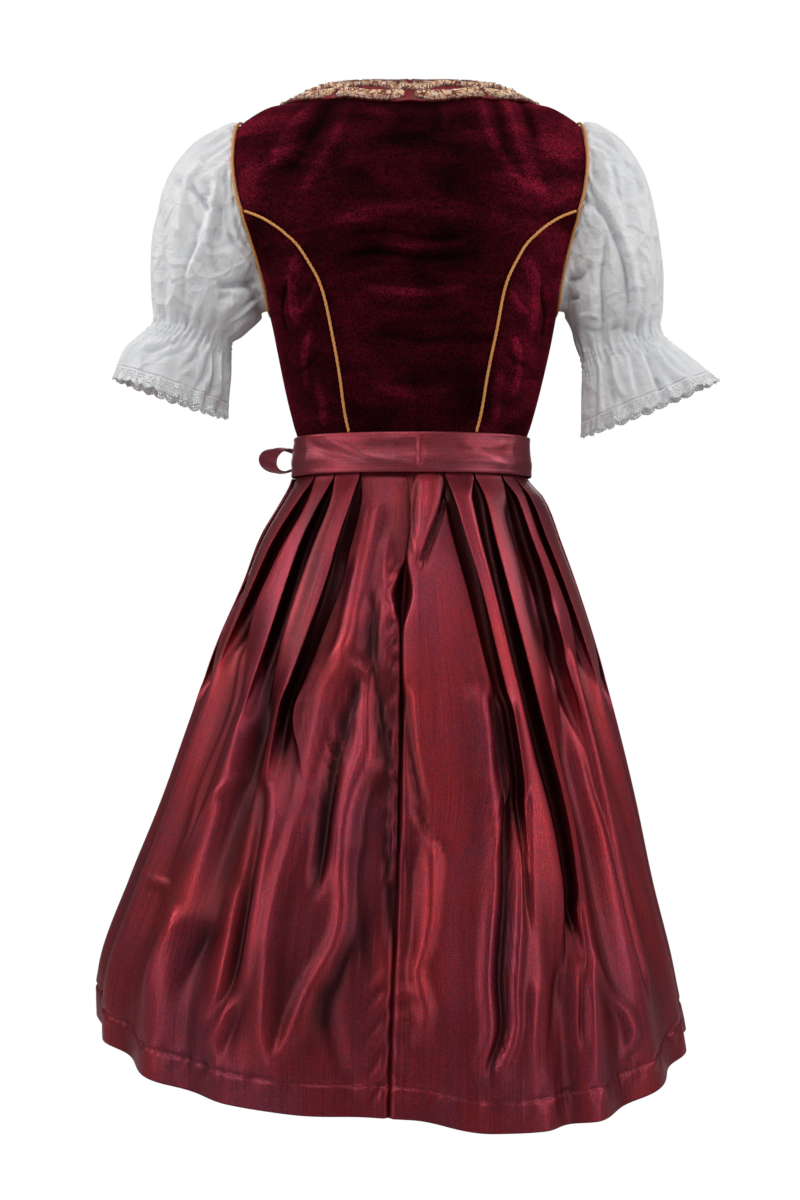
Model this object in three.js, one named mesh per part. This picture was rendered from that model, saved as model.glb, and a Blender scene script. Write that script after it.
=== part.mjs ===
// Dirndl: a velvet bodice with piped seams and a frog-mouth neck trim, a pleated satin skirt, a satin
// apron tied in a bow at the wearer's left, and a cotton blouse with puff sleeves. It keeps the hollow
// form that it has when worn.
// Millimetres, +Z up. The wearer faces -Y and their left side is +X. The origin is in the middle of the
// shoulder line, where the garment is carried.
import * as THREE from "three";

// ---------- Cloth ----------
const VELVET = 1.6; // wall thicknesses
const SATIN = 1.2;
const COTTON = 1.0;
const SEAM_GAP = 0.3; // space left between two pieces that are sewn together

// ---------- Heights ----------
const CHEST_Z = -150; // below this line the bodice runs straight down, above it curves over the shoulder
const SHOULDER_ARC = 180; // length given to the curve from the chest line to the shoulder ridge
const WAIST_Z = -371;
const BAND_TOP_Z = -349;
const BAND_BOTTOM_Z = -391;
const FRONT_HEM_Z = -988;
const APRON_HEM_Z = -944;
const BLOUSE_HEM_Z = -290;

// ---------- The figure that the bodice is cut for ----------
const FLATNESS = 0.12; // how much squarer than an ellipse a level section is
// rise is the height above the chest line, measured along the cloth.
const FORM = [
  { rise: -260, halfWidth: 123, backDepth: 85, frontDepth: 96 },
  { rise: -221, halfWidth: 120.5, backDepth: 80, frontDepth: 91 },
  { rise: -199, halfWidth: 121.5, backDepth: 81, frontDepth: 93 },
  { rise: -188, halfWidth: 125, backDepth: 83, frontDepth: 96 },
  { rise: -158, halfWidth: 133, backDepth: 90, frontDepth: 106 },
  { rise: -110, halfWidth: 143.5, backDepth: 98, frontDepth: 118 },
  { rise: -66, halfWidth: 152.5, backDepth: 103, frontDepth: 125 },
  { rise: -40, halfWidth: 160, backDepth: 105, frontDepth: 126 },
  { rise: 0, halfWidth: 177, backDepth: 107, frontDepth: 120 },
  { rise: 35, halfWidth: 200, backDepth: 107, frontDepth: 116 },
  { rise: 71, halfWidth: 213, backDepth: 107, frontDepth: 112 },
  { rise: 120, halfWidth: 222, backDepth: 107, frontDepth: 108 },
  { rise: 180, halfWidth: 226, backDepth: 107, frontDepth: 105 },
];
// Height of the shoulder ridge at each distance from the middle.
const SHOULDER = [
  { x: 0, z: 38 },
  { x: 60, z: 27 },
  { x: 80, z: 20.5 },
  { x: 100, z: 12.5 },
  { x: 122, z: 5 },
  { x: 146, z: 0.5 },
  { x: 160, z: -6 },
  { x: 177, z: -17 },
  { x: 200, z: -33 },
  { x: 235, z: -52 },
];

// How far the figure leans to the side at each height: the hips rest a little to the wearer's right.
const LEAN = [
  { z: 60, shift: 0 },
  { z: -120, shift: 0 },
  { z: -230, shift: -3.5 },
  { z: -300, shift: -3 },
  { z: -391, shift: -1.5 },
  { z: -500, shift: 0 },
  { z: -1100, shift: 0 },
];

// ---------- Cutting lines of the bodice, on the wearer's left ----------
const PRINCESS_SEAM = [
  { x: 62, z: WAIST_Z },
  { x: 68.5, z: -331 },
  { x: 74.5, z: -291 },
  { x: 83.5, z: -244 },
  { x: 92.5, z: -203 },
  { x: 105, z: -176.5 },
  { x: 121, z: -153.5 },
  { x: 146, z: -132.5 },
  { x: 173, z: -118 },
];
const ARMHOLE_BACK = [
  { x: 173, z: -118 },
  { x: 180, z: -90 },
  { x: 182.5, z: -66 },
  { x: 182, z: -42 },
  { x: 177, z: -17 },
];
const ARMHOLE_SIDE = [
  { x: 173, z: -118 },
  { x: 165, z: -146 },
  { x: 158, z: -172 },
  { x: 153.3, z: -196 },
  { x: 151, z: -216 },
];
const ARMHOLE_FRONT = [
  { x: 151, z: -216 },
  { x: 147, z: -195 },
  { x: 146, z: -165 },
  { x: 150, z: -130 },
  { x: 158, z: -90 },
  { x: 168, z: -50 },
  { x: 177, z: -17 },
];
const NECK_BACK = [
  { x: 0, z: 12.5 },
  { x: 40, z: 14.5 },
  { x: 70, z: 17 },
  { x: 97, z: 13.8 },
];
const NECK_FRONT = [
  { x: 0, z: -150 },
  { x: 48, z: -146 },
  { x: 76, z: -128 },
  { x: 89, z: -92 },
  { x: 95, z: -50 },
  { x: 97, z: 13.8 },
];

// ---------- Trims of the bodice ----------
const PIPING = {
  radius: 1.5,
  lift: 0.9, // off the velvet
  sides: 6,
  seamSteps: 20,
  armholeSteps: 34,
  seamShare: { from: 0.115, to: 0.975 }, // of the seam, between the apron's band and the armhole
};
const TRIM = {
  width: 27, // across the neckline
  repeat: 45, // one box pleat and its mouth
  edgeDrop: 1.2, // how much lower the trim's edges lie than its lips
  lip: 5, // how far a pleat's lip stands off the velvet
  mouth: 2.4, // height of the cloth inside a mouth
  inset: 11.5, // from the neck edge to the middle of the trim
};

// ---------- Skirt ----------
const SKIRT_ROWS = [0, 0.034, 0.07, 0.12, 0.2, 0.3, 0.42, 0.56, 0.71, 0.86, 1];
// Level outline of the cloth in the bottom of the folds: left is +X, right -X, back +Y, front -Y.
const SKIRT = [
  { z: -371, left: 118.5, right: 118.5, back: 79.5, front: 90.5 },
  { z: -391, left: 119, right: 119.5, back: 81, front: 92 },
  { z: -414, left: 128, right: 134, back: 93, front: 102 },
  { z: -456, left: 148, right: 148, back: 112, front: 120 },
  { z: -499, left: 163, right: 163, back: 131, front: 139 },
  { z: -562, left: 190, right: 183, back: 158, front: 163 },
  { z: -647, left: 221, right: 207, back: 187, front: 192 },
  { z: -732, left: 253, right: 229, back: 212, front: 215 },
  { z: -817, left: 289, right: 248, back: 232, front: 235 },
  { z: -902, left: 320, right: 270, back: 249, front: 248 },
  { z: -1010, left: 323, right: 290, back: 260, front: 258 },
];
// Height of the hem at each angle from the centre back, positive round the wearer's left.
const HEM = [
  { angle: -180, z: FRONT_HEM_Z },
  { angle: -120, z: -980 },
  { angle: -90, z: -967 },
  { angle: -65, z: -984 },
  { angle: -42, z: -1004 },
  { angle: -15, z: -1009 },
  { angle: 0, z: -996 },
  { angle: 20, z: -993 },
  { angle: 45, z: -982 },
  { angle: 65, z: -962 },
  { angle: 90, z: -949 },
  { angle: 120, z: -972 },
  { angle: 180, z: FRONT_HEM_Z },
];
const FRONT_TALL = 9; // the pleats under the apron lie flatter
// Folded edges of the knife pleats, once round from the centre back by the wearer's left. waist, middle
// and hem are angles in degrees, and tall is how far the pleat stands off in millimetres.
const PLEATS = [
  { waist: 28, middle: 34, hem: 31, tall: 20 },
  { waist: 46, middle: 49, hem: 52, tall: 19 },
  { waist: 63, middle: 66, hem: 68, tall: 15 },
  { waist: 80, middle: 83, hem: 84, tall: 12 },
  { waist: 98, middle: 100, hem: 101, tall: FRONT_TALL },
  { waist: 117, middle: 118, hem: 119, tall: FRONT_TALL },
  { waist: 137, middle: 137, hem: 137, tall: FRONT_TALL },
  { waist: 158, middle: 157, hem: 156, tall: FRONT_TALL },
  { waist: 199, middle: 200, hem: 201, tall: FRONT_TALL },
  { waist: 218, middle: 218, hem: 220, tall: FRONT_TALL },
  { waist: 238, middle: 238, hem: 239, tall: FRONT_TALL },
  { waist: 259, middle: 258, hem: 258, tall: FRONT_TALL },
  { waist: 276, middle: 275, hem: 274, tall: 11 },
  { waist: 289, middle: 288, hem: 286, tall: 13 },
  { waist: 302.5, middle: 304, hem: 303, tall: 17 },
  { waist: 323.6, middle: 325, hem: 319, tall: 22 },
  { waist: 342, middle: 332, hem: 336, tall: 18 },
];
const FRONT_CENTRE = 180;
const BACK_SEAM = { waist: -3.5, middle: 2, hem: 1 }; // angles of the centre back seam
const PLACKET = { from: 0.13, to: 0.25, gape: 7 }; // where the centre back seam is left open
// Share of a pleat's height, of its undercut and of its sharpness down the length of the skirt.
const PLEAT_LIFE = [
  { down: 0, height: 0.15, undercut: 0, sharp: 1 },
  { down: 0.035, height: 0.17, undercut: 0, sharp: 1 },
  { down: 0.1, height: 0.62, undercut: 0.7, sharp: 1 },
  { down: 0.25, height: 1, undercut: 1, sharp: 0.95 },
  { down: 0.45, height: 1, undercut: 0.7, sharp: 0.75 },
  { down: 0.65, height: 0.85, undercut: 0.2, sharp: 0.4 },
  { down: 0.85, height: 0.7, undercut: 0, sharp: 0.12 },
  { down: 1, height: 0.55, undercut: 0, sharp: 0 },
];
const PLEAT_UNDERCUT = 7; // how far a fold's edge overhangs the cloth beneath it

// ---------- Apron ----------
const APRON = {
  from: 93, // angles of its side edges
  to: 262,
  gathers: 20,
  gatherHeight: 2.6,
  waves: 7,
  waveHeight: 5,
  clear: 2.6, // from the crest of the skirt's pleats
  settled: 0.12, // share of the skirt's length at which it hangs on the skirt
  columns: 48,
  rows: [0, 0.06, 0.15, 0.28, 0.44, 0.62, 0.78, 0.9, 1],
};
const BAND_COLUMNS = 44;
// Clearance inside the band: close to the velvet above, over the skirt's pleats below.
const BAND = [
  { z: BAND_TOP_Z, off: 2.4 },
  { z: -366, off: 3.9 },
  { z: WAIST_Z, off: 4.4 },
  { z: BAND_BOTTOM_Z, off: 4.4 },
];

// ---------- Bow ----------
const BOW = {
  angle: 128, // of the knot, from the centre back
  knot: { width: 24, height: 30, depth: 11 },
  ribbon: 36, // width of the ribbon
  // side is the loop towards the side of the figure, tilt how far the ribbon's width turns off level.
  loops: [
    { name: "bow_loop_side", way: 1, reach: 66, droop: -4, tilt: 0.35 },
    { name: "bow_loop_front", way: -1, reach: 78, droop: -14, tilt: 0.1 },
  ],
  loopHeight: 17, // half the height of a loop's hollow
  loopLift: 6, // of a loop's far end off the band
  crush: { width: 7, far: 26 }, // of the ribbon at the knot, and at a loop's far end
  // from and to are how far a tail's top and end lie round from the knot, in degrees.
  tails: [
    { name: "bow_tail_side", from: -6, to: -14, length: 300 },
    { name: "bow_tail_front", from: 6, to: 13, length: 340 },
  ],
  tailRows: [0, 0.02, 0.06, 0.11, 0.18, 0.28, 0.4, 0.55, 0.75, 1],
  tailGap: 1.5, // under the knot
  tailTop: 9, // half a tail's width under the knot
  tailSlant: 10, // of a tail's cut end
  tailLift: 1.6, // of the tails off the band and the apron
  tailTurn: 12, // height over which they leave the band for the apron
};

// ---------- Blouse sleeves ----------
// Each row is a ring of the sleeve. outer and inner are its two ends in the front view, depth is half its
// size from front to back, and follow is how much of the armhole's own shape it keeps.
const SLEEVE_LEFT = [
  { outX: 189, outZ: -13, inX: 153, inZ: -210, depth: 58, y: -12, follow: 0.8, gather: 0 },
  { outX: 207, outZ: -21, inX: 155, inZ: -212, depth: 60, y: -11, follow: 0.45, gather: 1.5 },
  { outX: 233, outZ: -38, inX: 158, inZ: -215, depth: 62, y: -8, follow: 0.15, gather: 2.5 },
  { outX: 255, outZ: -70, inX: 161, inZ: -220, depth: 63, y: -6, follow: 0, gather: 2.5 },
  { outX: 269, outZ: -118, inX: 166, inZ: -226, depth: 61, y: -4, follow: 0, gather: 2 },
  { outX: 276, outZ: -170, inX: 173, inZ: -232, depth: 57, y: -4, follow: 0, gather: 2 },
  { outX: 275, outZ: -207, inX: 183, inZ: -239, depth: 49, y: -4, follow: 0, gather: 2.5 },
  { outX: 275, outZ: -226, inX: 193, inZ: -246, depth: 40, y: -4, follow: 0, gather: 2.2 },
  { outX: 286, outZ: -237, inX: 194, inZ: -258, depth: 41, y: -4, follow: 0, gather: 2.2 },
  { outX: 304, outZ: -254, inX: 194, inZ: -282, depth: 50, y: -4, follow: 0, gather: 3 },
  { outX: 312, outZ: -272, inX: 196, inZ: -312, depth: 57, y: -4, follow: 0, gather: 2.5 },
];
const SLEEVE_RIGHT = [
  { outX: 190, outZ: -12, inX: 153, inZ: -210, depth: 58, y: -12, follow: 0.8, gather: 0 },
  { outX: 208, outZ: -18, inX: 155, inZ: -212, depth: 60, y: -11, follow: 0.45, gather: 1.5 },
  { outX: 231, outZ: -37, inX: 159, inZ: -215, depth: 62, y: -8, follow: 0.15, gather: 2.5 },
  { outX: 249, outZ: -70, inX: 162, inZ: -220, depth: 63, y: -6, follow: 0, gather: 2.5 },
  { outX: 261, outZ: -118, inX: 165, inZ: -226, depth: 61, y: -4, follow: 0, gather: 2 },
  { outX: 267, outZ: -170, inX: 168, inZ: -233, depth: 57, y: -4, follow: 0, gather: 2 },
  { outX: 265, outZ: -207, inX: 171, inZ: -243, depth: 49, y: -4, follow: 0, gather: 2.5 },
  { outX: 261, outZ: -230, inX: 176, inZ: -257, depth: 40, y: -4, follow: 0, gather: 2.2 },
  { outX: 267, outZ: -243, inX: 180, inZ: -271, depth: 41, y: -4, follow: 0, gather: 2.2 },
  { outX: 289, outZ: -261, inX: 180, inZ: -299, depth: 50, y: -4, follow: 0, gather: 3 },
  { outX: 312, outZ: -279, inX: 180, inZ: -332, depth: 57, y: -4, follow: 0, gather: 2.5 },
];
const SLEEVE_COLUMNS = 30; // two to each gather
const LACE = { gap: 0.6, drop: 12, scallop: 3.5, columns: 56, thickness: 1, flare: 1 };

// ---------- Colours ----------
const CLOTH = {
  velvet: new THREE.MeshStandardMaterial({ color: 0x3a0912, roughness: 0.85, metalness: 0 }),
  satin: new THREE.MeshStandardMaterial({ color: 0x6e1f2b, roughness: 0.35, metalness: 0 }),
  cotton: new THREE.MeshStandardMaterial({ color: 0xe9eaf0, roughness: 0.9, metalness: 0 }),
  lace: new THREE.MeshStandardMaterial({ color: 0xe4e2de, roughness: 0.95, metalness: 0 }),
  piping: new THREE.MeshStandardMaterial({ color: 0xc58a45, roughness: 0.5, metalness: 0.1 }),
  brocade: new THREE.MeshStandardMaterial({ color: 0xb48a5c, roughness: 0.45, metalness: 0.3 }),
};

// ---------- Small tools ----------
const radians = THREE.MathUtils.degToRad;
const mix = THREE.MathUtils.lerp;
const clamp = THREE.MathUtils.clamp;
const steps = (count) => Array.from({ length: count + 1 }, (_, i) => i / count);

// Value of a column of a table at a key, on a smooth curve through every row. Keys run in one direction.
function read(table, key, column, at) {
  const way = Math.sign(table[table.length - 1][key] - table[0][key]);
  const last = table.length - 1;
  if ((at - table[0][key]) * way <= 0) return table[0][column];
  if ((at - table[last][key]) * way >= 0) return table[last][column];
  let i = 0;
  while ((at - table[i + 1][key]) * way > 0) i++;
  const slope = (a, b) => (table[b][column] - table[a][column]) / (table[b][key] - table[a][key]);
  const from = i > 0 ? slope(i - 1, i + 1) : slope(i, i + 1);
  const to = i + 2 <= last ? slope(i, i + 2) : slope(i, i + 1);
  const span = table[i + 1][key] - table[i][key];
  const t = (at - table[i][key]) / span;
  const a = table[i][column];
  const b = table[i + 1][column];
  const curve = a * (1 + 2 * t) * (1 - t) ** 2 + b * t * t * (3 - 2 * t);
  return curve + span * (from * t * (1 - t) ** 2 + to * t * t * (t - 1));
}

// A solid between two matching grids of points, [row][column]. A ring closes on itself along its columns.
function wall(outer, inner, ring) {
  const rows = outer.length;
  const columns = outer[0].length;
  const positions = [];
  for (const p of [...outer, ...inner].flat()) positions.push(p.x, p.y, p.z);
  const index = (side, r, c) => side * rows * columns + r * columns + (c % columns);
  const faces = [];
  const quad = (a, b, c, d) => faces.push(a, b, c, a, c, d);
  const acrossEnd = ring ? columns : columns - 1;
  for (let r = 0; r < rows - 1; r++)
    for (let c = 0; c < acrossEnd; c++) {
      quad(index(0, r, c), index(0, r, c + 1), index(0, r + 1, c + 1), index(0, r + 1, c));
      quad(index(1, r, c), index(1, r + 1, c), index(1, r + 1, c + 1), index(1, r, c + 1));
    }
  for (let c = 0; c < acrossEnd; c++) {
    quad(index(0, 0, c), index(1, 0, c), index(1, 0, c + 1), index(0, 0, c + 1));
    quad(index(0, rows - 1, c), index(0, rows - 1, c + 1), index(1, rows - 1, c + 1), index(1, rows - 1, c));
  }
  if (!ring)
    for (let r = 0; r < rows - 1; r++) {
      const end = columns - 1;
      quad(index(0, r, 0), index(0, r + 1, 0), index(1, r + 1, 0), index(1, r, 0));
      quad(index(0, r, end), index(1, r, end), index(1, r + 1, end), index(0, r + 1, end));
    }
  return solid(positions, faces);
}

// A geometry whose faces point outwards, whichever way round they were listed.
function solid(positions, faces) {
  const at = (i) => new THREE.Vector3().fromArray(positions, 3 * i);
  let volume = 0;
  for (let i = 0; i < faces.length; i += 3)
    volume += at(faces[i]).dot(at(faces[i + 1]).cross(at(faces[i + 2])));
  if (volume < 0)
    for (let i = 0; i < faces.length; i += 3) [faces[i + 1], faces[i + 2]] = [faces[i + 2], faces[i + 1]];
  const geometry = new THREE.BufferGeometry();
  geometry.setAttribute("position", new THREE.Float32BufferAttribute(positions, 3));
  geometry.setIndex(faces);
  geometry.computeVertexNormals();
  return geometry;
}

// Each point of a ring grid moved along the grid's own normal.
function shifted(grid, distance) {
  const rows = grid.length;
  const columns = grid[0].length;
  return grid.map((row, r) =>
    row.map((p, c) => {
      const along = row[(c + 1) % columns].clone().sub(row[(c + columns - 1) % columns]);
      const up = new THREE.Vector3().subVectors(
        grid[Math.min(r + 1, rows - 1)][c],
        grid[Math.max(r - 1, 0)][c],
      );
      return p.clone().addScaledVector(along.cross(up).normalize(), distance);
    }),
  );
}

const mirror = (grid) => grid.map((row) => row.map((p) => new THREE.Vector3(-p.x, p.y, p.z)));

const garment = new THREE.Group();
function add(name, geometry, material) {
  const points = geometry.getAttribute("position");
  for (let i = 0; i < points.count; i++)
    points.setX(i, points.getX(i) + read(LEAN, "z", "shift", points.getZ(i)));
  const mesh = new THREE.Mesh(geometry, material);
  mesh.name = name;
  garment.add(mesh);
}

// ---------- The bodice's surface ----------
// theta runs round the figure from the centre back, rise up along the cloth from the chest line.
function formPoint(theta, rise) {
  const halfWidth = read(FORM, "rise", "halfWidth", rise);
  const depth = read(FORM, "rise", Math.cos(theta) > 0 ? "backDepth" : "frontDepth", rise);
  const x = halfWidth * Math.sin(theta);
  const y = depth * Math.cos(theta) * (1 + FLATNESS * Math.sin(theta) ** 2);
  if (rise <= 0) return new THREE.Vector3(x, y, CHEST_Z + rise);
  const lift = (Math.min(rise / SHOULDER_ARC, 1) * Math.PI) / 2;
  const ridge = read(SHOULDER, "x", "z", Math.abs(x));
  return new THREE.Vector3(x, y * Math.cos(lift), CHEST_Z + (ridge - CHEST_Z) * Math.sin(lift));
}

function formNormal(theta, rise) {
  const turn = 0.004;
  const climb = 0.6;
  const high = Math.min(rise + climb, SHOULDER_ARC - 0.01);
  const along = formPoint(theta + turn, rise).sub(formPoint(theta - turn, rise));
  const up = formPoint(theta, high).sub(formPoint(theta, high - 2 * climb));
  return along.cross(up).normalize().negate();
}

// A point of the bodice's outside, moved off it by a distance.
const skin = (theta, rise, off) => formPoint(theta, rise).addScaledVector(formNormal(theta, rise), off);

// Cutting lines are drawn on a flat chart: across is the angle, stretched to about its real length.
const CHART = 120;
function chart({ x, z }, front) {
  const ridge = read(SHOULDER, "x", "z", x);
  const share = clamp((z - CHEST_Z) / (ridge - CHEST_Z), 0, 1);
  const rise = z <= CHEST_Z ? z - CHEST_Z : (SHOULDER_ARC * Math.asin(share)) / (Math.PI / 2);
  const turn = Math.asin(clamp(x / read(FORM, "rise", "halfWidth", rise), 0, 1));
  return new THREE.Vector2(CHART * (front ? Math.PI - turn : turn), rise);
}
const chartLine = (table, front) => new THREE.SplineCurve(table.map((row) => chart(row, front)));
const straight = (a, b) => new THREE.LineCurve(a, b);
function chain(...curves) {
  const path = new THREE.CurvePath();
  for (const curve of curves) path.add(curve);
  return path;
}
const onChart = (point, off) => skin(point.x / CHART, point.y, off);

const waistRise = WAIST_Z - CHEST_Z;
const underarm = chart(ARMHOLE_SIDE[4], false);
const princess = chartLine(PRINCESS_SEAM, false);
const armholeBack = chartLine(ARMHOLE_BACK, false);
const armholeSide = chartLine(ARMHOLE_SIDE, false);
const armholeFront = chartLine(ARMHOLE_FRONT, true);
const neckBack = chartLine(NECK_BACK, false);
const neckFront = chartLine(NECK_FRONT, true);

// Both sides of a velvet panel from its patch of the chart, pulled back from the seams at its two sides.
function velvetPanel(patch, columns, rows) {
  const at = (u, v, off) => {
    const p = patch(u, v);
    p.x += mix(SEAM_GAP / 2, -SEAM_GAP / 2, u);
    return onChart(p, off);
  };
  const grid = (off) => steps(rows).map((v) => steps(columns).map((u) => at(u, v, off)));
  return [grid(0), grid(-VELVET)];
}

// ---------- Bodice panels ----------
// Half of a panel that crosses the figure's middle: u runs from the middle to the side, v from the foot
// up. top is its upper edge from the middle, and side its outer edge's point at v.
function halfPatch(foot, top, side, u, v) {
  const crown = top.getPointAt(0);
  const corner = side(0);
  const p = new THREE.Vector2();
  p.addScaledVector(foot.clone().lerp(crown, v), 1 - u).addScaledVector(side(v), u);
  p.addScaledVector(foot.clone().lerp(corner, u), 1 - v).addScaledVector(top.getPointAt(u), v);
  p.addScaledVector(foot, -(1 - u) * (1 - v)).addScaledVector(corner, -u * (1 - v));
  p.addScaledVector(crown, -(1 - u) * v).addScaledVector(side(1), -u * v);
  return p;
}

// Both halves of such a panel as one grid. sideways pulls it back from its side seams.
function crossingPanel(foot, top, side, shares, columns, sideways, off) {
  return shares.map((v) => {
    const half = steps(columns).map((u) => {
      const p = halfPatch(foot, top, side, u, v);
      p.x += (sideways * u * SEAM_GAP) / 2;
      p.y = Math.min(p.y, SHOULDER_ARC - SEAM_GAP);
      return onChart(p, off);
    });
    const other = half.slice(1).reverse().map((p) => new THREE.Vector3(-p.x, p.y, p.z));
    return [...other, ...half];
  });
}

const SEAM_ROWS = 8; // the panels on both sides of a seam share its rows
const ARMHOLE_ROWS = 5;
function backPanel() {
  const top = chain(neckBack, straight(neckBack.getPoint(1), armholeBack.getPoint(1)));
  const seamShare = princess.getLength() / (princess.getLength() + armholeBack.getLength());
  const side = (v) => {
    if (v <= seamShare) return princess.getPointAt(v / seamShare);
    return armholeBack.getPointAt((v - seamShare) / (1 - seamShare));
  };
  const shares = [
    ...steps(SEAM_ROWS).map((t) => t * seamShare),
    ...steps(ARMHOLE_ROWS).slice(1).map((t) => mix(seamShare, 1, t)),
  ];
  const make = (off) => crossingPanel(new THREE.Vector2(0, waistRise), top, side, shares, 6, -1, off);
  add("bodice_back_centre", wall(make(0), make(-VELVET), false), CLOTH.velvet);
}

function sideBackPanels() {
  const sideSeam = straight(new THREE.Vector2((CHART * Math.PI) / 2, waistRise), underarm);
  const patch = (u, v) => {
    const inner = princess.getPointAt(v);
    const outer = sideSeam.getPointAt(v);
    const top = armholeSide.getPointAt(u);
    const straightTop = princess.getPointAt(1).lerp(underarm, u);
    return inner.lerp(outer, u).add(top.sub(straightTop).multiplyScalar(v));
  };
  const [outside, inside] = velvetPanel(patch, 5, SEAM_ROWS);
  add("bodice_back_side_left", wall(outside, inside, false), CLOTH.velvet);
  add("bodice_back_side_right", wall(mirror(outside), mirror(inside), false), CLOTH.velvet);
}

function frontPanels() {
  const foot = new THREE.Vector2(CHART * Math.PI, waistRise);
  const middle = chain(straight(foot, neckFront.getPoint(0)), neckFront);
  const sideSeam = straight(new THREE.Vector2((CHART * Math.PI) / 2, waistRise), underarm);
  const side = chain(sideSeam, armholeFront);
  const patch = (u, v) => {
    const p = side.getPointAt(v).lerp(middle.getPointAt(v), u);
    p.y = Math.min(p.y, SHOULDER_ARC - SEAM_GAP);
    return p;
  };
  const [outside, inside] = velvetPanel(patch, 7, 13);
  add("bodice_front_left", wall(outside, inside, false), CLOTH.velvet);
  add("bodice_front_right", wall(mirror(outside), mirror(inside), false), CLOTH.velvet);
}

// ---------- Piping ----------
// The armhole as one closed line of chart points, from the shoulder down the back and up the front.
function armholeLoop(count) {
  const down = chain(
    new THREE.SplineCurve(ARMHOLE_BACK.map((row) => chart(row, false)).reverse()),
    armholeSide,
  );
  const backCount = Math.round(count * 0.48);
  const back = steps(backCount).map((t) => down.getPointAt(t));
  const front = steps(count - backCount).map((t) => armholeFront.getPointAt(t));
  return [...back.slice(0, -1), ...front.slice(0, -1)];
}

function cord(points, count) {
  const path = new THREE.CatmullRomCurve3(points);
  const section = new THREE.Shape();
  for (let i = 0; i < PIPING.sides; i++) {
    const turn = (2 * Math.PI * i) / PIPING.sides;
    const x = PIPING.radius * Math.cos(turn);
    const y = PIPING.radius * Math.sin(turn);
    if (i === 0) section.moveTo(x, y);
    else section.lineTo(x, y);
  }
  return new THREE.ExtrudeGeometry(section, { steps: count, extrudePath: path, bevelEnabled: false });
}

const PIPING_OFF = PIPING.radius + PIPING.lift;
function pipings() {
  const { from, to } = PIPING.seamShare;
  const seam = steps(14).map((t) => onChart(princess.getPointAt(mix(from, to, t)), PIPING_OFF));
  const hole = armholeLoop(28).map((p) => onChart(p, PIPING_OFF));
  for (const [side, flip] of [["left", 1], ["right", -1]]) {
    const turned = (points) => points.map((p) => new THREE.Vector3(flip * p.x, p.y, p.z));
    add("piping_back_" + side, cord(turned(seam), PIPING.seamSteps), CLOTH.piping);
    add("piping_armhole_" + side, ringCord(turned(hole)), CLOTH.piping);
  }
}

// A closed cord: rings of a polygon round a closed line, joined into a torus.
function ringCord(points) {
  const path = new THREE.CatmullRomCurve3(points, true);
  const frames = path.computeFrenetFrames(PIPING.armholeSteps, true);
  const positions = [];
  const faces = [];
  for (let i = 0; i < PIPING.armholeSteps; i++) {
    const centre = path.getPointAt(i / PIPING.armholeSteps);
    for (let j = 0; j < PIPING.sides; j++) {
      const turn = (2 * Math.PI * j) / PIPING.sides;
      const p = centre
        .clone()
        .addScaledVector(frames.normals[i], PIPING.radius * Math.cos(turn))
        .addScaledVector(frames.binormals[i], PIPING.radius * Math.sin(turn));
      positions.push(p.x, p.y, p.z);
    }
  }
  const index = (i, j) => (i % PIPING.armholeSteps) * PIPING.sides + (j % PIPING.sides);
  for (let i = 0; i < PIPING.armholeSteps; i++)
    for (let j = 0; j < PIPING.sides; j++) {
      faces.push(index(i, j), index(i + 1, j), index(i + 1, j + 1));
      faces.push(index(i, j), index(i + 1, j + 1), index(i, j + 1));
    }
  return solid(positions, faces);
}

// ---------- Neck trim ----------
// Height of the trim above the velvet: along is the place in one repeat, 0 to 1, across from -1 at the
// neck edge to 1. Two lips bow apart in the middle of a repeat and meet between repeats.
function trimHeight(along, across) {
  const open = Math.sin(Math.PI * along) ** 2;
  const lips = Math.abs(across) > 0.3 ? TRIM.lip * (0.75 + 0.25 * open) : TRIM.lip * (1 - open);
  const edge = Math.abs(across) > 0.9 ? TRIM.edgeDrop : 0;
  return Math.max(TRIM.mouth, lips - edge);
}

const TRIM_ACROSS = [-1, -0.62, 0, 0.62, 1];
// side is 1 or -1, for the side of the line on which the velvet lies.
function neckTrim(name, line, side, repeats, mirrored) {
  const columns = repeats * 4;
  const middle = (t) => line.getPointAt(t);
  const outside = [];
  const inside = [];
  for (let i = 0; i <= columns; i++) {
    const t = i / columns;
    const here = middle(t);
    const ahead = middle(Math.min(t + 0.004, 1)).sub(middle(Math.max(t - 0.004, 0)));
    const sideways = new THREE.Vector2(-ahead.y, ahead.x).normalize();
    const along = (i % 4) / 4;
    const at = (across) => {
      const p = here.clone().addScaledVector(sideways, side * (TRIM.inset + (across * TRIM.width) / 2));
      p.x = Math.min(p.x, CHART * Math.PI - SEAM_GAP / 2);
      p.y = Math.min(p.y, SHOULDER_ARC - SEAM_GAP / 2);
      return p;
    };
    outside.push(TRIM_ACROSS.map((a) => onChart(at(a), PIPING.lift + trimHeight(along, a))));
    inside.push(TRIM_ACROSS.map((a) => onChart(at(a), PIPING.lift)));
  }
  const turned = mirrored ? mirror : (grid) => grid;
  add(name, wall(turned(outside), turned(inside), false), CLOTH.brocade);
}

function neckTrims() {
  const left = neckBack.points;
  const right = left.slice(1).reverse().map((p) => new THREE.Vector2(-p.x, p.y));
  neckTrim("neck_trim_back", new THREE.SplineCurve([...right, ...left]), -1, 5, false);
  neckTrim("neck_trim_left", neckFront, 1, 5, false);
  neckTrim("neck_trim_right", neckFront, 1, 5, true);
}

// ---------- Skirt surface ----------
const compass = (angle) => (angle > 180 ? angle - 360 : angle);

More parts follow.
